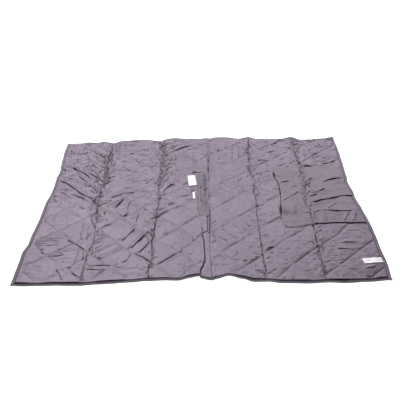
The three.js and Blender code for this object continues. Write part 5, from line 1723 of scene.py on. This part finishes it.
# Stage
def make_stage():
    bpy.ops.mesh.primitive_plane_add(size=40, location=(0, 4, 0))
    floor = bpy.context.object
    floor.name = "floor"
    material, _, _, shader = node_tree("floor_white")
    shader.inputs["Base Color"].default_value = (0.9, 0.9, 0.9, 1)
    shader.inputs["Roughness"].default_value = 0.9
    shader.inputs["Emission Color"].default_value = (1, 1, 1, 1)
    shader.inputs["Emission Strength"].default_value = FLOOR_GLOW
    floor.data.materials.append(material)


def make_camera():
    yaw, pitch, roll = (math.radians(angle) for angle in CAMERA_TURN)
    forward = np.array([-math.sin(yaw) * math.cos(pitch), math.cos(yaw) * math.cos(pitch), -math.sin(pitch)])
    level = np.array([math.cos(yaw), math.sin(yaw), 0])
    above = np.cross(level, forward)
    data = bpy.data.cameras.new("camera")
    data.sensor_width = 36
    data.lens = CAMERA_LENS
    camera = bpy.data.objects.new("camera", data)
    bpy.context.scene.collection.objects.link(camera)
    matrix = np.eye(4)
    matrix[:3, 0] = math.cos(roll) * level + math.sin(roll) * above
    matrix[:3, 1] = -math.sin(roll) * level + math.cos(roll) * above
    matrix[:3, 2] = -forward
    matrix[:3, 3] = np.array(CAMERA_PLACE) + SHIFT
    camera.matrix_world = Matrix(matrix.tolist())
    bpy.context.scene.camera = camera


def aim(obj, place, target):
    obj.location = place
    obj.rotation_euler = (Vector(target) - Vector(place)).to_track_quat("-Z", "Y").to_euler()


def softbox(name, place, target, size, power):
    data = bpy.data.lights.new(name, "AREA")
    data.shape = "RECTANGLE"
    data.size, data.size_y = size
    data.energy = power
    light = bpy.data.objects.new(name, data)
    bpy.context.scene.collection.objects.link(light)
    aim(light, place, target)


def make_lights():
    world = bpy.data.worlds.new("world")
    world.use_nodes = True
    nodes, links = world.node_tree.nodes, world.node_tree.links
    background = nodes["Background"]
    place = nodes.new("ShaderNodeTexCoord")
    split = nodes.new("ShaderNodeSeparateXYZ")
    ramp = nodes.new("ShaderNodeMapRange")
    ramp.inputs["From Min"].default_value = -0.9
    ramp.inputs["From Max"].default_value = 0.9
    ramp.inputs["To Min"].default_value = WORLD_LEFT
    ramp.inputs["To Max"].default_value = WORLD_RIGHT
    links.new(place.outputs["Generated"], split.inputs["Vector"])
    links.new(split.outputs["X"], ramp.inputs["Value"])
    links.new(ramp.outputs["Result"], background.inputs["Strength"])
    background.inputs["Color"].default_value = (1, 1, 1, 1)
    bpy.context.scene.world = world
    for name, (at, size, power) in SOFTBOXES.items():
        softbox(name, at, (0, 0, 0), size, power)


bpy.context.scene.view_settings.view_transform = "Standard"
make_camera()
make_stage()
make_lights()

shell = cloth_material("shell_cloth", SHELL_LIGHT, SHELL_DARK, SHELL_ROUGHNESS, SHELL_METAL)
plain = cloth_material("plain_cloth", PLAIN_LIGHT, PLAIN_DARK, SHELL_ROUGHNESS, SHELL_METAL, crinkle=0.25)
binding = cloth_material("binding_tape", TAPE_LIGHT, TAPE_DARK, 0.75, crinkle=0.2)
label_white = cloth_material("label_woven", LABEL_LIGHT, LABEL_DARK, SHELL_ROUGHNESS, SHELL_METAL,
                             crinkle=0.1)
thread = even_material("sewing_thread", THREAD_COLOUR, 0.7)
metal = even_material("snap_enamel", SNAP_COLOUR, 0.35, 0.6)

cloth_creases = read_creases(CREASES) + gathers_of(GATHERS) + tucks_of(SEAM_TUCKS) + scattered(SCATTERED)
left_grid = quilt_grid("left", plan_left, cloth_creases)
right_grid = quilt_grid("right", plan_right, cloth_creases)
left_names = ["quilt_left_outer", "quilt_left_middle", "quilt_left_inner"]
right_names = ["quilt_right_inner", "quilt_right_middle", "quilt_right_outer"]
left_panels = panels(left_grid, "left", left_names, ["left", "seam_one", "seam_two", "centre"], "quilt_left")
right_panels = panels(right_grid, "right", right_names, ["centre", "seam_four", "seam_five", "right"],
                      "quilt_right")
fly_cloth = fly()
tapes = bindings()
pocket_cloth = pocket(right_grid)
facing_cloth, facing_grid = facing(left_grid)
for name, (at, size, turn, on, curl) in LABELS.items():
    plan, grid = (plan_left, left_grid) if "left" in on else (plan_right, right_grid)
    look, slot = (binding, "binding") if name == "label_tape" else (label_white, "label")
    label_piece(name + "_cloth", name, at, size, turn, plan, grid, look, curl)
for name, at in SNAPS.items():
    snap(name, at, facing_grid)
sew("quilting_left", quilting_lines(left_grid, COLUMN["left"], COLUMN["centre"], by_facing))
sew("quilting_right", quilting_lines(right_grid, COLUMN["centre"], COLUMN["right"], by_pocket))
bar_tack("bar_tack_slot", (60, JOG["y"]), 14, right_grid, plan_right)
bar_tack("bar_tack_neck", (64, 341), 12, left_grid, plan_left)
